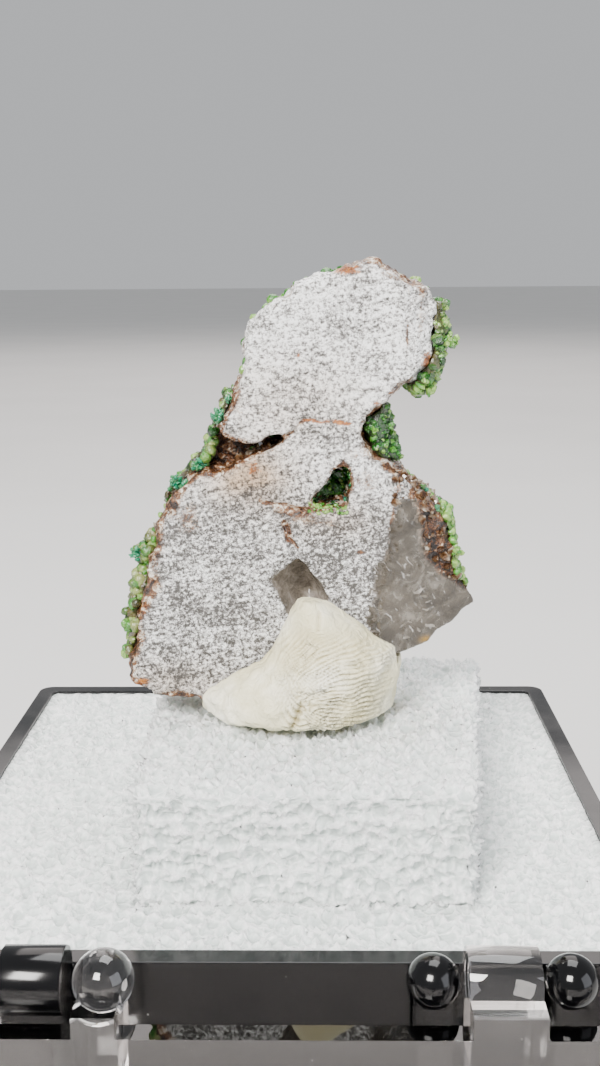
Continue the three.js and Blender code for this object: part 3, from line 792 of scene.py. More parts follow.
@dataclass
class Foam:
    """Closed-cell foam: the liner in the tray and the hand-cut block on it.

    The block's foot is pressed a little way into the liner, so no gap shows.
    """

    cell_mm: float = 1.3
    liner_depth_mm: float = 0.55
    block_depth_mm: float = 0.62
    liner_step_mm: float = 0.21
    block_voxel_mm: float = 0.165
    ledge_mm: float = 1.7
    corner_mm: float = 0.9
    corner_segments: int = 3
    press_mm: float = 0.25

    def wall(self, at: Vector, flatten: float = 1.0) -> float:
        """Share of cell wall at a place: 1 on a wall, 0 in the middle of a cut cell."""
        seat = Vector((at.x, at.y, at.z * flatten)) / (self.cell_mm * MM)
        seat += 0.3 * noise.noise_vector(seat * 1.7)
        near, _ = noise.voronoi(seat)
        return 1.0 - smoothstep(0.0, 0.3, near[1] - near[0])

    def torn(self, at: Vector) -> float:
        """Tear of the film, from 0 to 1, in flakes about a third of a cell across."""
        return smoothstep(-0.35, 0.45, noise.noise(at / (0.38 * MM) + Vector((7.0, 3.0, 5.0))))

    def dent(self, at: Vector, depth: float, flatten: float = 1.0) -> float:
        """Metres that the cut surface lies below its outer form."""
        wall = self.wall(at, flatten)
        height = wall * (0.3 + 0.7 * self.torn(at))
        broad = 0.5 + 0.5 * lumps(at, 3.0)
        return (depth * (1 - height) + 0.3 * broad) * MM

    def ledge(self, at: Vector) -> float:
        """Ragged level steps down the block's sides, from 0 to 1."""
        level = at.z / (self.ledge_mm * MM) + 0.45 * noise.noise(Vector((at.x, at.y, 0.0)) / (2.4 * MM))
        return (level - math.floor(level)) ** 2

    def liner(self) -> bpy.types.Object:
        """Liner with a cellular top, its sides plain where the tray hides them."""
        low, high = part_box("foam_liner")
        reach = high.x + self.press_mm * MM
        work = bmesh.new()
        steps = round(2 * reach / (self.liner_step_mm * MM))
        bmesh.ops.create_grid(work, x_segments=steps, y_segments=steps, size=reach)
        # This attribute drives the foam's painted highlight on cell walls and painted shade in the cells.
        layer = work.verts.layers.float.new("wall")
        for vertex in work.verts:
            vertex.co.z = high.z
            vertex[layer] = self.wall(vertex.co) * (0.5 + 0.5 * self.torn(vertex.co))
            inside = smoothstep(0.0, 1.2 * MM, reach - max(abs(vertex.co.x), abs(vertex.co.y)))
            vertex.co.z -= self.dent(vertex.co, self.liner_depth_mm) * (0.15 + 0.85 * inside)
        skirt = bmesh.ops.extrude_edge_only(work, edges=[e for e in work.edges if e.is_boundary])
        for vertex in (g for g in skirt["geom"] if isinstance(g, bmesh.types.BMVert)):
            vertex.co.z = low.z
        bmesh.ops.contextual_create(work, geom=[e for e in work.edges if e.is_boundary])
        bmesh.ops.recalc_face_normals(work, faces=work.faces)
        return to_object(work, "liner_foam", 60.0)

    def block(self) -> bpy.types.Object:
        """Block whose torn sides and top show the cells in level layers."""
        low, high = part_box("foam_block")
        work = cad_copy("foam_block", True)
        middle = (low + high) / 2
        for vertex in work.verts:
            if vertex.co.z < middle.z:
                vertex.co.z -= 2 * self.corner_mm * MM
        soften(work, self.corner_mm, self.corner_segments)
        skin = voxel_skin(to_object(work, "block_form"), self.block_voxel_mm, "block_foam")

        def push(at: Vector, normal: Vector) -> float:
            """Cells are cut inwards."""
            side = 1 - abs(normal.z)
            return (0.3 - 0.4 * side * (1 - self.ledge(at))) * MM - self.dent(at, self.block_depth_mm, 1.2)

        # This attribute drives the foam's painted highlight on cell walls and painted shade in the cells.
        paint(skin, "wall", lambda at, normal: self.wall(at, 1.2) * (0.5 + 0.5 * self.torn(at)))
        displace(skin, push)
        return skin

    def build(self) -> None:
        """Make both foam pieces."""
        foam = polyethylene_foam()
        finish_piece(self.liner(), foam, BASE, Slot.FOAM, "foam_liner")
        finish_piece(self.block(), foam, BASE, Slot.FOAM, "foam_block")


@dataclass
class Putty:
    """Mineral putty pressed by a thumb, whose ridges it keeps.

    The ridges fan out of a fold: they leave it steeply and bend level, fan_mm setting how wide they start.
    """

    datum: Datum
    voxel_mm: float = 0.13
    ridge_mm: float = 0.5
    ridge_depth_mm: float = 0.32
    fan_mm: float = 1.7
    fold: tuple[float, float] = (1.7, 9.9)
    fold_foot: tuple[float, float] = (1.0, 8.2)
    crease: tuple[tuple[float, float], tuple[float, float]] = ((3.0, 16.3), (2.9, 15.2))
    level_deg: float = -4.0

    def ridge_phase(self, at: Vector) -> float:
        """Phase of the finger ridges, which rise from the fold and bend over to the right.

        Args:
            at: A place on the putty.

        Returns:
            The phase in turns.
        """
        x, height = self.datum.on_face(at)
        dx, dz = x - self.fold[0], height - self.fold[1]
        swing = math.atan2(dz, dx) - math.radians(self.level_deg)
        swing = max(-1.2, min(swing, 2.3))
        waver = 0.45 * lumps(at, 1.5)
        return ((self.fan_mm + math.hypot(dx, dz)) * swing + waver) / self.ridge_mm

    def build(self) -> None:
        """Make the pressed lump."""
        form = to_object(cad_copy("mounting_putty"), "putty_form")
        skin = voxel_skin(form, self.voxel_mm, "putty_lump")
        front = self.datum.face_y - 0.5 * MM

        def shown(at: Vector) -> float:
            """How far the ridges are pressed in: fully in front, not at all behind or on the left lobe."""
            x, height = self.datum.on_face(at)
            patch = smoothstep(-0.6, 1.2, x + 0.12 * (height - 10)) * smoothstep(15.6, 13.8, height)
            far = math.hypot(x - self.fold[0], height - self.fold[1])
            uneven = (0.75 + 0.5 * lumps(at, 1.6)) * (1.15 - 0.5 * smoothstep(2.5, 7.0, far))
            return patch * uneven * smoothstep(0.0, 1.4 * MM, front - at.y)

        def furrow(at: Vector) -> float:
            """Furrow between two ridges, from 0 on a crest to 1."""
            return (0.5 - 0.5 * math.cos(2 * math.pi * self.ridge_phase(at))) ** 1.4

        def folds(at: Vector) -> float:
            """Depth share of the fold and the short crease."""
            x, height = self.datum.on_face(at)
            fold = bell(segment_distance(x, height, self.fold, self.fold_foot), 0.2)
            crease = bell(segment_distance(x, height, *self.crease), 0.12)
            return (fold + 0.5 * crease) * smoothstep(0.0, 0.8 * MM, front - at.y)

        def push(at: Vector, normal: Vector) -> float:
            """Ridges, a soft kneaded lumpiness and the folds."""
            x, _ = self.datum.on_face(at)
            left = smoothstep(0.5, -1.5, x)
            knead = 0.24 * lumps(at, 2.2) + (0.08 + 0.14 * left) * lumps(at, 0.9)
            return (knead - shown(at) * self.ridge_depth_mm * furrow(at) - 0.4 * folds(at)) * MM

        # This attribute holds painted shade: strongest in the furrows between the ridges, in the fold and in
        # the crease.
        paint(skin, "painted_groove_shade", lambda at, normal: min(1.0, shown(at) * furrow(at) ** 2 + 0.8 * folds(at)))
        displace(skin, push)
        finish_piece(skin, mineral_putty(), BASE, Slot.PUTTY, "mounting_putty")


@dataclass(frozen=True)
class Spot:
    """Soft round or squashed patch of a stain on the sawn face, in millimetres."""

    x: float
    height: float
    reach: float
    strength: float = 1.0
    squash: float = 1.0

    def at(self, x: float, height: float) -> float:
        """Strength of the patch at a place."""
        far = ((x - self.x) / self.reach) ** 2 + ((height - self.height) / (self.squash * self.reach)) ** 2
        return self.strength * math.exp(-far)


@dataclass(frozen=True)
class Window:
    """Upright rectangle on the sawn face, in millimetres to the right and above the rim."""

    left: float
    right: float
    low: float
    high: float

    def holds(self, x: float, height: float) -> bool:
        """Whether a place is inside."""
        return self.left < x < self.right and self.low < height < self.high


@dataclass
class Slab:
    """Sawn quartz slab: frosted face, stained rim, hollows, rusty seam, cracks and a clear broken corner.

    Paths and spots are in millimetres to the right and above the tray's rim.
    """

    datum: Datum
    voxel_mm: float = 0.155
    rim_step_mm: float = 0.15
    veils: int = 16
    veil_seed: int = 31
    clear_edge: Outline = ((8.8, 24.0), (8.2, 21.5), (7.6, 19.6), (6.9, 17.6), (6.6, 15.5), (6.9, 10.0))
    druse_edge: Outline = ((9.6, 25.0), (10.2, 22.0), (10.6, 19.4), (11.6, 18.2), (13.6, 16.6), (16.0, 15.8))
    bowl: Window = Window(-1.2, 4.6, 13.0, 20.6)
    bowl_edge: Window = Window(-1.6, 5.0, 13.0, 21.2)
    seam: Outline = ((1.9, 29.7), (3.4, 29.7), (5.3, 29.4))
    cracks: tuple[Outline, ...] = (
        ((1.9, 29.7), (1.2, 29.0), (0.5, 28.5)),
        ((-1.2, 24.0), (0.6, 23.5), (2.2, 23.2)),
        ((0.4, 22.3), (0.9, 21.6), (0.8, 21.1), (1.5, 20.5)),
    )
    rusts: tuple[Spot, ...] = (
        Spot(10.6, 33.8, 0.45, 1.1, 1.4),
        Spot(5.0, 40.1, 1.1, 1.0, 0.35),
        Spot(-3.0, 10.6, 0.6, 1.0, 0.5),
        Spot(-10.2, 10.4, 0.8, 0.8, 0.5),
        Spot(1.6, 34.3, 0.18, 0.9),
        Spot(10.9, 13.0, 0.4, 0.9, 0.6),
        Spot(-1.7, 26.3, 0.5, 0.75, 1.6),
        Spot(7.1, 30.9, 0.4, 0.7, 0.8),
        Spot(8.3, 31.7, 0.4, 0.7, 0.8),
        Spot(8.6, 24.9, 0.9, 0.5, 0.5),
        Spot(-10.0, 16.0, 0.7, 0.5, 1.6),
    )
    browns: tuple[Spot, ...] = (
        Spot(0.6, 23.3, 1.5, 0.6, 0.3),
        Spot(2.0, 22.6, 1.5, 0.55, 0.5),
        Spot(3.9, 22.3, 0.7, 0.4, 0.6),
        Spot(0.7, 21.5, 0.3, 0.5, 2.2),
        Spot(6.3, 25.4, 1.5, 0.5, 0.8),
        Spot(5.6, 27.4, 1.3, 0.42, 0.6),
        Spot(6.0, 20.2, 0.4, 0.8, 0.5),
        Spot(-6.4, 22.7, 1.1, 0.58, 1.5),
        Spot(-2.6, 30.7, 0.6, 0.55, 2.6),
        Spot(-0.8, 32.2, 0.4, 0.5, 0.8),
        Spot(-9.0, 17.6, 0.8, 0.4, 1.1),
        Spot(-4.8, 27.2, 2.8, 1.0, 0.55),
        Spot(-1.6, 35.2, 2.6, -0.75, 1.3),
        Spot(2.6, 38.9, 2.4, -0.6, 0.8),
        Spot(11.7, 34.8, 1.7, -1.1, 2.3),
    )
    warms: tuple[Spot, ...] = (
        Spot(-2.0, 25.5, 3.2, 1.35, 0.7),
        Spot(4.0, 22.6, 3.0, 0.7, 0.5),
        Spot(1.0, 31.0, 5.0, 0.5, 0.6),
        Spot(-8.0, 10.5, 3.5, 0.7, 0.5),
    )
    rim: KDTree | None = None

    def find_rim(self) -> None:
        """Collect points along the sawn face's boundary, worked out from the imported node."""
        work = cad_copy("quartz_slab")
        front = self.datum.face_y + 0.1 * MM
        sawn = {f for f in work.faces if f.normal.y < -0.99 and f.calc_center_median().y < front}
        points = []
        for edge in work.edges:
            if sum(face in sawn for face in edge.link_faces) == 1:
                a, b = (v.co.copy() for v in edge.verts)
                steps = max(1, round((b - a).length / (self.rim_step_mm * MM)))
                points += [a.lerp(b, k / steps) for k in range(steps)]
        work.free()
        self.rim = KDTree(len(points))
        for index, point in enumerate(points):
            self.rim.insert(point, index)
        self.rim.balance()

    def to_rim(self, at: Vector) -> float:
        """Millimetres from a place to the sawn face's boundary."""
        return self.rim.find(at)[2] / MM

    def on_sawn(self, at: Vector, normal: Vector) -> bool:
        """Whether a place is on the flat sawn face."""
        return normal.y < -0.85 and at.y < self.datum.face_y + 0.25 * MM

    @staticmethod
    def beyond(path: Outline, x: float, height: float) -> float:
        """Millimetres to the right of a falling path, or below -5 where the path doesn't reach."""
        for (x0, z0), (x1, z1) in zip(path, path[1:]):
            if z1 <= height <= z0:
                return x - (x0 + (x1 - x0) * (z0 - height) / (z0 - z1))
        return -9.0

    def cracked(self, at: Vector, width: float) -> float:
        """How near a place is to one of the thin cracks, 1 being on it."""
        x, height = self.datum.on_face(at)
        shift = noise.noise_vector(at / (0.6 * MM)) * 0.2
        near = min(path_distance(x + shift.x, height + shift.z, path) for path in self.cracks)
        return bell(near, width)

    def in_bowl(self, at: Vector) -> float:
        """Share of a place that is inside the smooth bowl."""
        x, height = self.datum.on_face(at)
        depth = self.datum.depth(at)
        return smoothstep(0.03, 0.3, depth) if self.bowl.holds(x, height) and depth < 5 else 0.0

    def glassy(self, at: Vector, normal: Vector) -> float:
        """Share of bare, unfrosted quartz: in the bowl and up to the clear corner."""
        x, height = self.datum.on_face(at)
        wander = 0.5 * lumps(at, 0.7)
        near = smoothstep(-0.25, 0.1, self.beyond(self.clear_edge, x, height) + wander)
        druse = smoothstep(0.5, -0.2, self.beyond(self.druse_edge, x, height))
        return max(self.in_bowl(at), near * druse)

    def stain(self, at: Vector, normal: Vector) -> float:
        """Brown iron stain: strong on the broken rim and in the notch, a thin line along the face's edge."""
        x, height = self.datum.on_face(at)
        depth = self.datum.depth(at)
        patches = 0.5 + 0.9 * lumps(at, 1.7)
        value = smoothstep(0.05, 0.5, depth) * (0.5 + 0.6 * patches)
        reach = 0.2 + 0.5 * smoothstep(-5.5, -8.0, x)
        line = bell(self.to_rim(at), reach) * max(0.0, 0.25 + 0.75 * patches)
        value += 0.0 if self.bowl_edge.holds(x, height) else line
        value += sum(spot.at(x, height) for spot in self.browns)
        value += 0.8 * self.cracked(at, 0.15)
        druse = self.beyond(self.druse_edge, x, height) + lumps(at, 0.9)
        return value + 0.9 * smoothstep(-0.4, 0.4, druse)

    def rust(self, at: Vector, normal: Vector) -> float:
        """Orange iron rust along the seam and in spots on the rim."""
        x, height = self.datum.on_face(at)
        shift = noise.noise_vector(at / (0.8 * MM)) * 0.22
        near = path_distance(x + shift.x, height + shift.z, self.seam)
        gaps = 0.75 + 0.6 * lumps(at, 0.7)
        front = 1.0 if at.y < self.datum.face_y + 1 * MM else 0.0
        line = 1.2 * bell(near, 0.15) * gaps * front
        return line + sum(spot.at(x, height) for spot in self.rusts)

    def warm(self, at: Vector, normal: Vector) -> float:
        """Soft beige tint in broad patches."""
        return sum(spot.at(*self.datum.on_face(at)) for spot in self.warms)

    def grey(self, at: Vector, normal: Vector) -> float:
        """Greyer lower lobes, whiter top lobe."""
        x, height = self.datum.on_face(at)
        lower = smoothstep(27.0, 21.0, height) * (1.0 + 0.2 * smoothstep(0.0, 4.0, x))
        return lower - 0.55 * smoothstep(29.0, 33.0, height)

    def push(self, at: Vector, normal: Vector) -> float:
        """Relief: saw chatter, pits and cracks on the face, broken grain elsewhere."""
        x, height = self.datum.on_face(at)
        if self.on_sawn(at, normal):
            line = noise.noise(Vector((0.12 * x, 0.0, 2.6 * (height + 0.2 * x))))
            pits = lumps(at, 0.4)
            split = self.cracked(at, 0.12)
            chips = 0.1 + 0.2 * lumps(at, 0.6)
            chips *= bell(self.to_rim(at), 0.35)
            return (0.03 * line - 0.12 * smoothstep(0.2, 0.6, pits) - 0.35 * split - chips) * MM
        smooth = self.glassy(at, normal)
        broken = lumps(at, 1.1) + 0.6 * lumps(at, 0.45)
        facets, _ = noise.voronoi(at / (0.8 * MM))
        return (0.22 * broken + 0.25 * (0.45 - facets[0])) * (1 - 0.85 * smooth) * MM

    def is_clear(self, centre: Vector, normal: Vector) -> bool:
        """Whether a face of the skin is bare clear quartz, right through the corner to the back."""
        x, height = self.datum.on_face(centre)
        wander = 0.7 * lumps(centre, 0.7) + 0.25 * lumps(centre, 0.25)
        if self.beyond(self.clear_edge, x, height) + wander < 0:
            return False
        return self.beyond(self.druse_edge, x, height) + 1.3 * wander < 0 or height < 15.4 + wander

    def add_veils(self, work: bmesh.types.BMesh, draw: random.Random) -> None:
        """Add the healed fractures inside the clear corner: thin curved sheets that catch the light.

        Args:
            work: The bmesh that they go into.
            draw: Seeded random numbers.
        """
        for _ in range(self.veils):
            height = draw.uniform(13.4, 19.5)
            x = draw.uniform(8.6, 11.6) - 0.2 * (height - 16)
            at = self.datum.off_face(x, draw.uniform(0.5, 1.8), height)
            turn = Euler([draw.uniform(*ends) for ends in ((0.9, 2.1), (-0.6, 0.6), (-0.5, 0.5))]).to_matrix()
            made = bmesh.ops.create_grid(work, x_segments=8, y_segments=5, size=1.0)
            long, wide = draw.uniform(0.15, 0.6) * MM, draw.uniform(0.03, 0.12) * MM
            for vertex in made["verts"]:
                u, v = vertex.co.x, vertex.co.y
                round_off = math.sqrt(max(0.0, 1 - 0.7 * u * u))
                vertex.co = turn @ Vector((u * long, v * wide * round_off, 0.2 * long * u * u)) + at
                vertex.co += noise.noise_vector(vertex.co / (0.3 * MM)) * 0.1 * MM

    def build(self) -> bpy.types.Object:
        """Make the slab and mark its stains, rust and clear corner.

        Returns:
            The stone, which the crust and the druse grow on.
        """
        self.find_rim()
        skin = voxel_skin(to_object(cad_copy("quartz_slab"), "slab_form"), self.voxel_mm, "slab_stone")
        for mark in (self.stain, self.rust, self.grey, self.glassy, self.warm):
            paint(skin, mark.__name__, mark)
        displace(skin, self.push)
        for material in (sawn_quartz(), clear_quartz()):
            skin.data.materials.append(material)
        for face in skin.data.polygons:
            if self.is_clear(face.center, face.normal):
                face.material_index = 1
        finish_piece(skin, None, BASE, Slot.QUARTZ, "quartz_slab")
        work = bmesh.new()
        self.add_veils(work, random.Random(self.veil_seed))
        finish_piece(to_object(work, "slab_veils", 60.0), fracture_veil(), BASE, Slot.QUARTZ)
        return skin


@dataclass
class Druse:
    """Small quartz points on the broken parts of the stone."""

    datum: Datum
    stone: bpy.types.Object
    slab: Slab
    largest_mm: float = 0.36
    corner_per_mm2: float = 1.6
    hollow_per_mm2: float = 2.0
    back_per_mm2: float = 2.4
    notch_per_mm2: float = 0.5
    seed: int = 57
    hollow: Window = Window(8.2, 10.8, 23.6, 25.6)
    notch: Window = Window(-5.0, 1.0, 26.0, 28.6)

    def wanted(self, centre: Vector, normal: Vector) -> float:
        """Points for each square millimetre at a place."""
        x, height = self.datum.on_face(centre)
        depth = self.datum.depth(centre)
        if self.slab.is_clear(centre, normal) or self.slab.in_bowl(centre) > 0.0:
            return 0.0
        if self.slab.beyond(self.slab.druse_edge, x, height) > 0.2 and depth > 0.05:
            return self.corner_per_mm2
        if self.hollow.holds(x, height) and depth < 3:
            return self.hollow_per_mm2
        if normal.y > 0.2 and depth > 2.2:
            return self.back_per_mm2 * max(0.0, 0.25 + lumps(centre, 2.4))
        notch = depth > 0.6 and normal.z > -0.5 and self.notch.holds(x, height)
        return self.notch_per_mm2 if notch else 0.0

    def build(self) -> None:
        """Scatter the points by area."""
        draw = random.Random(self.seed)
        swarm = Swarm()
        stamps = [Stamp.crystal(prism) for prism in (0.8, 1.2, 1.8)]
        for face in self.stone.data.polygons:
            centre, normal = face.center, face.normal
            if draw.random() > self.wanted(centre, normal) * face.area / MM**2:
                continue
            radius = self.largest_mm * MM * draw.uniform(0.3, 1.0) ** 1.5
            lean = Vector([draw.gauss(0, 0.45) for _ in range(3)])
            turn = (normal + lean).normalized().to_track_quat("Z", "Y").to_matrix().to_4x4()
            seat = Matrix.Translation(centre - normal * 0.4 * radius) @ turn
            stamp = draw.choice(stamps)
            swarm.add(stamp, seat @ Matrix.Rotation(draw.random(), 4, "Z") @ Matrix.Scale(radius, 4))
        finish_piece(swarm.to_object("slab_druse"), quartz_point(), BASE, Slot.QUARTZ)


@dataclass(frozen=True)
class Cluster:
    """One cluster of teal or pale green crystals at a place on the rim, in millimetres."""

    x: float
    height: float
    depth: float
    reach: float
    count: int
    grain_mm: tuple[float, float] = (0.09, 0.2)
    teal: bool = True
    margin_mm: float = 1.2

    def within(self, low: Vector, high: Vector, rim: float) -> bool:
        """Whether the cluster is within a box, or just past it."""
        x, z, margin = self.x * MM, rim + self.height * MM, self.margin_mm * MM
        return low.x - margin < x < high.x + margin and low.z - margin < z < high.z + margin


@dataclass(frozen=True)
class Growth:
    """How one patch has grown.

    The pad is the even crust, thick_mm deep; balls of ball_mm radius stand on it, per_mm2 of them. Tone goes
    from bottle green at 0 to pale yellow-green at 1, and earth is the share of brown between the balls.
    """

    short: str
    thick_mm: float
    ball_mm: tuple[float, float]
    per_mm2: float
    tone: float
    spread: float
    earth: float
    drusy: bool


@dataclass
class Crust:
    """Conichalcite patches: a lumpy pad set with small balls or druses."""

    datum: Datum
    stone: bpy.types.Object
    voxel_mm: float = 0.18
    sink_mm: float = 0.15
    lip: Window = Window(2.2, 5.0, 22.9, 23.9)
    vug: Window = Window(2.0, 5.8, 22.6, 27.2)
    lip_per_mm2: float = 12.0
    inner_per_mm2: float = 5.0
    coarse_mm: float = 0.35
    teal_share: float = 0.02
    first_seed: int = 101
    sprinkle_seed: int = 211
    bead: Stamp = field(default_factory=lambda: Stamp.ball(2))
    grain: Stamp = field(default_factory=lambda: Stamp.ball(1))
    growths: tuple[Growth, ...] = (
        Growth("left", 1.2, (0.24, 0.5), 2.6, 0.62, 0.2, 0.92, False),
        Growth("shoulder", 0.95, (0.2, 0.42), 2.6, 0.5, 0.2, 0.72, False),
        Growth("crown", 1.75, (0.14, 0.36), 5.5, 0.55, 0.26, 0.55, True),
        Growth("waist", 1.9, (0.12, 0.26), 9.0, 0.38, 0.24, 0.1, True),
        Growth("right", 0.75, (0.2, 0.4), 3.2, 0.74, 0.18, 0.15, False),
        Growth("back", 2.4, (0.22, 0.52), 2.6, 0.5, 0.22, 0.15, False),
        Growth("vug", 0.6, (0.1, 0.22), 8.0, 0.5, 0.22, 0.0, True),
    )
    clusters: tuple[Cluster, ...] = (
        Cluster(-4.15, 29.95, 0.8, 0.42, 60),
        Cluster(-3.4, 31.2, 1.0, 0.25, 8),
        Cluster(-5.7, 26.5, 0.8, 0.5, 40),
        Cluster(-7.2, 25.1, 0.8, 0.62, 60),
        Cluster(-10.5, 19.95, 1.0, 0.36, 26),
        Cluster(9.35, 24.8, 1.4, 0.3, 12),
        Cluster(11.4, 23.1, 1.4, 0.35, 16),
        Cluster(-11.3, 14.4, 1.4, 0.45, 8, (0.26, 0.42), False),
        Cluster(-11.4, 12.2, 1.4, 0.4, 7, (0.24, 0.4), False),
        Cluster(12.3, 35.1, 1.6, 0.42, 22, (0.14, 0.28), False),
        Cluster(11.0, 31.8, 1.6, 0.36, 14, (0.14, 0.26), False),
        Cluster(12.3, 22.4, 2.0, 0.35, 6, (0.22, 0.36), False),
        Cluster(13.2, 19.8, 2.0, 0.3, 6, (0.16, 0.3), False),
    )

    def pad(self, node: str, thick: float, tree: BVHTree) -> bmesh.types.BMesh:
        """Fine skin of one patch, drawn in until it hugs the stone.

        Args:
            node: The CAD node.
            thick: Thickness of the crust in millimetres.
            tree: The stone's surface.

        Returns:
            A bmesh with an "off" layer, from 0 at the stone to about 1 on the patch's outer side.
        """
        skin = voxel_skin(to_object(cad_copy(node), node + "_form"), self.voxel_mm, node + "_pad")
        work = bmesh.new()
        work.from_mesh(skin.data)
        bpy.data.objects.remove(skin)
        off = work.verts.layers.float.new("off")
        found = [(vertex, *tree.find_nearest(vertex.co)) for vertex in work.verts]
        far = sorted(distance for *_, distance in found)[int(0.93 * len(found))]
        near = min(distance for *_, distance in found)
        for vertex, place, _, _, distance in found:
            share = (distance - near) / (far - near)
            near_ball, _ = noise.voronoi(vertex.co / (0.75 * MM))
            rough = 0.25 * (0.5 - near_ball[0]) * min(1.0, 2 * share)
            height = (thick * share * (0.85 + 0.4 * lumps(vertex.co, 1.3)) + rough) * MM
            out = (vertex.co - place).normalized() if distance > 0 else vertex.normal
            vertex.co = place + out * (height - self.sink_mm * MM)
            vertex[off] = share
        axes = {"use_axis_x": True, "use_axis_y": True, "use_axis_z": True}
        bmesh.ops.smooth_vert(work, verts=work.verts, factor=0.3, **axes)
        work.normal_update()
        return work

    def knob(
        self, swarm: Swarm, at: Vector, radius: float, values: tuple, draw: random.Random, drusy: bool
    ) -> None:
        """Add one ball, or one stubby crystal on a druse.

        Args:
            swarm: Where it goes.
            at: Its centre.
            radius: Its radius in metres.
            values: Its tone, teal and earth.
            draw: Seeded random numbers.
            drusy: Whether it is a crystal.
        """
        turn = Euler([2 * math.pi * draw.random() for _ in range(3)]).to_matrix().to_4x4()
        long = draw.uniform(1.1, 1.7) if drusy else draw.uniform(0.85, 1.2)
        stretch = Matrix.Diagonal((radius, radius * draw.uniform(0.75, 1.1), radius * long, 1.0))
        stamp = self.grain if drusy else self.bead
        swarm.add(stamp, Matrix.Translation(at) @ turn @ stretch, values, 0.34 * radius)

    def crystals(self, node: str, swarm: Swarm, draw: random.Random) -> None:
        """Add the clusters of crystals that belong to this patch."""
        low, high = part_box(node)
        for cluster in self.clusters:
            if node == "conichalcite_back" or not cluster.within(low, high, self.datum.rim):
                continue
            middle = self.datum.off_face(cluster.x, cluster.depth, cluster.height)
            drusy = cluster.grain_mm[1] < self.coarse_mm
            for _ in range(cluster.count):
                at = middle + Vector([cluster.reach * MM * draw.gauss(0.0, 0.45) for _ in range(3)])
                teal = draw.uniform(0.7, 1.0) if cluster.teal else 0.0
                values = (draw.uniform(0.6, 0.95), teal, 0.0)
                self.knob(swarm, at, draw.uniform(*cluster.grain_mm) * MM, values, draw, drusy)

    def patch(self, growth: Growth, seed: int, tree: BVHTree, material: bpy.types.Material) -> None:
        """Make one patch with its balls and crystals."""
        node = "conichalcite_" + growth.short
        draw = random.Random(seed)
        work = self.pad(node, growth.thick_mm, tree)
        off = work.verts.layers.float["off"]
        swarm = Swarm(("tone", "teal", "earth"))
        for face in work.faces:
            share = sum(v[off] for v in face.verts) / len(face.verts)
            if share < 0.25 or draw.random() > growth.per_mm2 * face.calc_area() / MM**2:
                continue
            radius = draw.uniform(*growth.ball_mm) * MM
            tone = min(0.98, max(0.02, growth.tone + draw.gauss(0.05, growth.spread)))
            earth = max(0.0, growth.earth - 0.4 + draw.gauss(0.0, 0.25))
            at = face.calc_center_median() - face.normal * 0.15 * radius
            self.knob(swarm, at, radius, (tone, 0.0, earth), draw, growth.drusy)
        swarm.add_bmesh(work, lambda v: (growth.tone - 0.12, 0.0, growth.earth + 0.45 * (1 - v[off])))
        self.crystals(node, swarm, draw)
        piece = swarm.to_object(node + "_crust", 20.0 if growth.drusy else 50.0)
        finish_piece(piece, material, BASE, Slot.GREEN, node)

    def sprinkle(self, material: bpy.types.Material) -> None:
        """Grow a broken crust of balls over the natural back, and some in the vug and on its lower lip."""
        draw = random.Random(self.sprinkle_seed)
        swarm = Swarm(("tone", "teal", "earth"))
        for face in self.stone.data.polygons:
            x, height = self.datum.on_face(face.center)
            depth = self.datum.depth(face.center)
            field_at = lumps(face.center, 2.6) + 0.35 * lumps(face.center, 0.9)
            lip = self.lip.holds(x, height) and -0.1 < depth < 0.8
            inside = self.vug.holds(x, height) and 0.5 < depth < 5.0
            wanted = self.lip_per_mm2 if lip else self.inner_per_mm2 if inside else 0.0
            if depth > 2.2 and face.normal.y > -0.2 and face.material_index == 0 and not inside:
                wanted = smoothstep(-0.2, 0.12, field_at) * smoothstep(-0.2, 0.5, face.normal.y)
                wanted *= self.inner_per_mm2
            if draw.random() > wanted * face.area / MM**2:
                continue
            radius = (draw.uniform(0.08, 0.16) if lip or inside else draw.uniform(0.16, 0.42)) * MM
            base = 0.9 if lip else 0.35 if inside else 0.52
            tone = min(0.98, max(0.05, base + 0.5 * field_at + draw.gauss(0.0, 0.14)))
            teal = 1.0 if draw.random() < self.teal_share and not lip else 0.0
            values = (tone, teal, max(0.0, draw.gauss(-0.05, 0.2)))
            self.knob(swarm, face.center + face.normal * 0.3 * radius, radius, values, draw, lip)
        finish_piece(swarm.to_object("stone_green_sprinkle", 50.0), material, BASE, Slot.GREEN)

    def build(self) -> None:
        """Make every patch, and the balls on the back and in the vug."""
        material = conichalcite()
        surface = bmesh.new()
        surface.from_mesh(self.stone.data)
        tree = BVHTree.FromBMesh(surface)
        surface.free()
        for seed, growth in enumerate(self.growths, start=self.first_seed):
            self.patch(growth, seed, tree, material)
        self.sprinkle(material)


@dataclass(frozen=True)
class Softbox:
    """Square area light, in metres and watts. It is aimed at the stone, or aim_y behind it."""

    name: str
    at: tuple[float, float, float]
    size: float
    power: float
    tint: str
    aim_y: float = 0.0


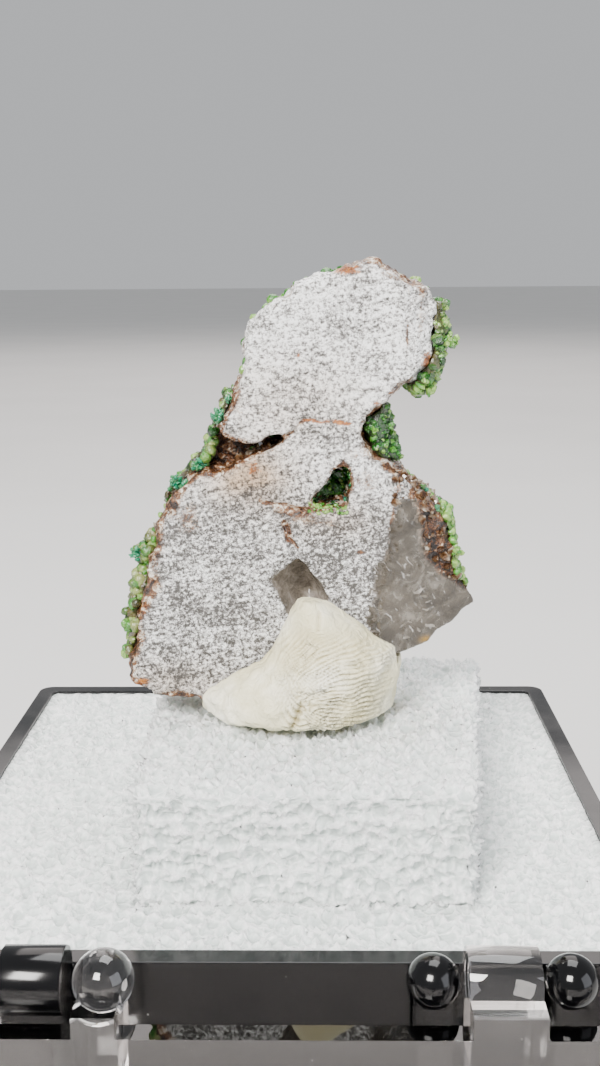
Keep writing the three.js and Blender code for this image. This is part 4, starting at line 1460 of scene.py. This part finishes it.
@dataclass
class Studio:
    """Pale floor, soft lights and the camera at the photograph's angle."""

    datum: Datum
    camera_mm: tuple[float, float, float] = (3.19, -89.49, 40.05)
    yaw_deg: float = -1.06
    pitch_deg: float = 12.16
    roll_deg: float = -0.42
    focal_px: float = 1216.8
    picture_long_px: float = 1066.0
    sensor_mm: float = 36.0
    sky_strength: float = 0.74
    floor_reach: float = 6.0
    aim_mm: float = 20.0
    softboxes: tuple[Softbox, ...] = (
        Softbox("key_softbox", (-0.16, -0.42, 0.42), 0.22, 8.4, "fffcf8"),
        Softbox("fill_softbox", (0.4, -0.25, 0.2), 0.35, 1.3, "f4f7ff"),
        Softbox("top_softbox", (0.05, 0.15, 0.55), 0.3, 2.3, "ffffff"),
        Softbox("back_softbox", (0.0, 0.85, 0.72), 0.8, 6.0, "fff6f2", 0.55),
    )

    def camera(self) -> None:
        """Set the camera; its place counts from the middle of the tray's rim."""
        data = bpy.data.cameras.new("camera")
        data.sensor_width = self.sensor_mm
        data.lens = self.focal_px / self.picture_long_px * self.sensor_mm
        data.clip_start = 1 * MM
        data.clip_end = 20.0
        camera = link("camera", data)
        x, y, z = self.camera_mm
        camera.location = (x * MM, y * MM, self.datum.rim + z * MM)
        turn = Matrix.Rotation(math.radians(-self.yaw_deg), 3, "Z")
        tilt = Matrix.Rotation(math.radians(90 - self.pitch_deg), 3, "X")
        roll = Matrix.Rotation(math.radians(self.roll_deg), 3, "Z")
        camera.rotation_euler = (turn @ tilt @ roll).to_euler()
        bpy.context.scene.camera = camera

    def light(self, box: Softbox) -> None:
        """Set up one light."""
        data = bpy.data.lights.new(box.name, "AREA")
        data.size = box.size
        data.energy = box.power
        data.color = linear(box.tint)[:3]
        lamp = link(box.name, data)
        lamp.location = box.at
        aim = Vector((0.0, box.aim_y, self.datum.rim + self.aim_mm * MM)) - Vector(box.at)
        lamp.rotation_euler = aim.to_track_quat("-Z", "Y").to_euler()

    def floor(self) -> None:
        """Wide pale floor under the box."""
        work = bmesh.new()
        bmesh.ops.create_grid(work, x_segments=1, y_segments=1, size=self.floor_reach)
        piece = to_object(work, "studio_floor")
        made = Finish("pale_floor", "d9d8d6", 0.7).start()
        made.feed("Base Color", made.grains(60.0).ramp((0.2, "d5d4d2"), (0.8, "dcdbd9")))
        piece.data.materials.append(made.material)

    def build(self) -> None:
        """Set the world, the floor, the lights and the camera."""
        world = bpy.data.worlds.new("studio")
        world.use_nodes = True
        background = world.node_tree.nodes["Background"]
        background.inputs["Color"].default_value = linear("dfe1e4")
        background.inputs["Strength"].default_value = self.sky_strength
        bpy.context.scene.world = world
        self.floor()
        for box in self.softboxes:
            self.light(box)
        self.camera()


def main() -> None:
    """Load the frame and build the studio and every sub-assembly."""
    logging.basicConfig(level=logging.INFO, format="%(name)s: %(message)s")
    noise.seed_set(NOISE_SEED)
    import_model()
    datum = Datum.read()
    Studio(datum).build()
    DisplayBox().build()
    Foam().build()
    Putty(datum).build()
    slab = Slab(datum)
    stone = slab.build()
    Druse(datum, stone, slab).build()
    Crust(datum, stone).build()


if __name__ == "__main__":
    main()
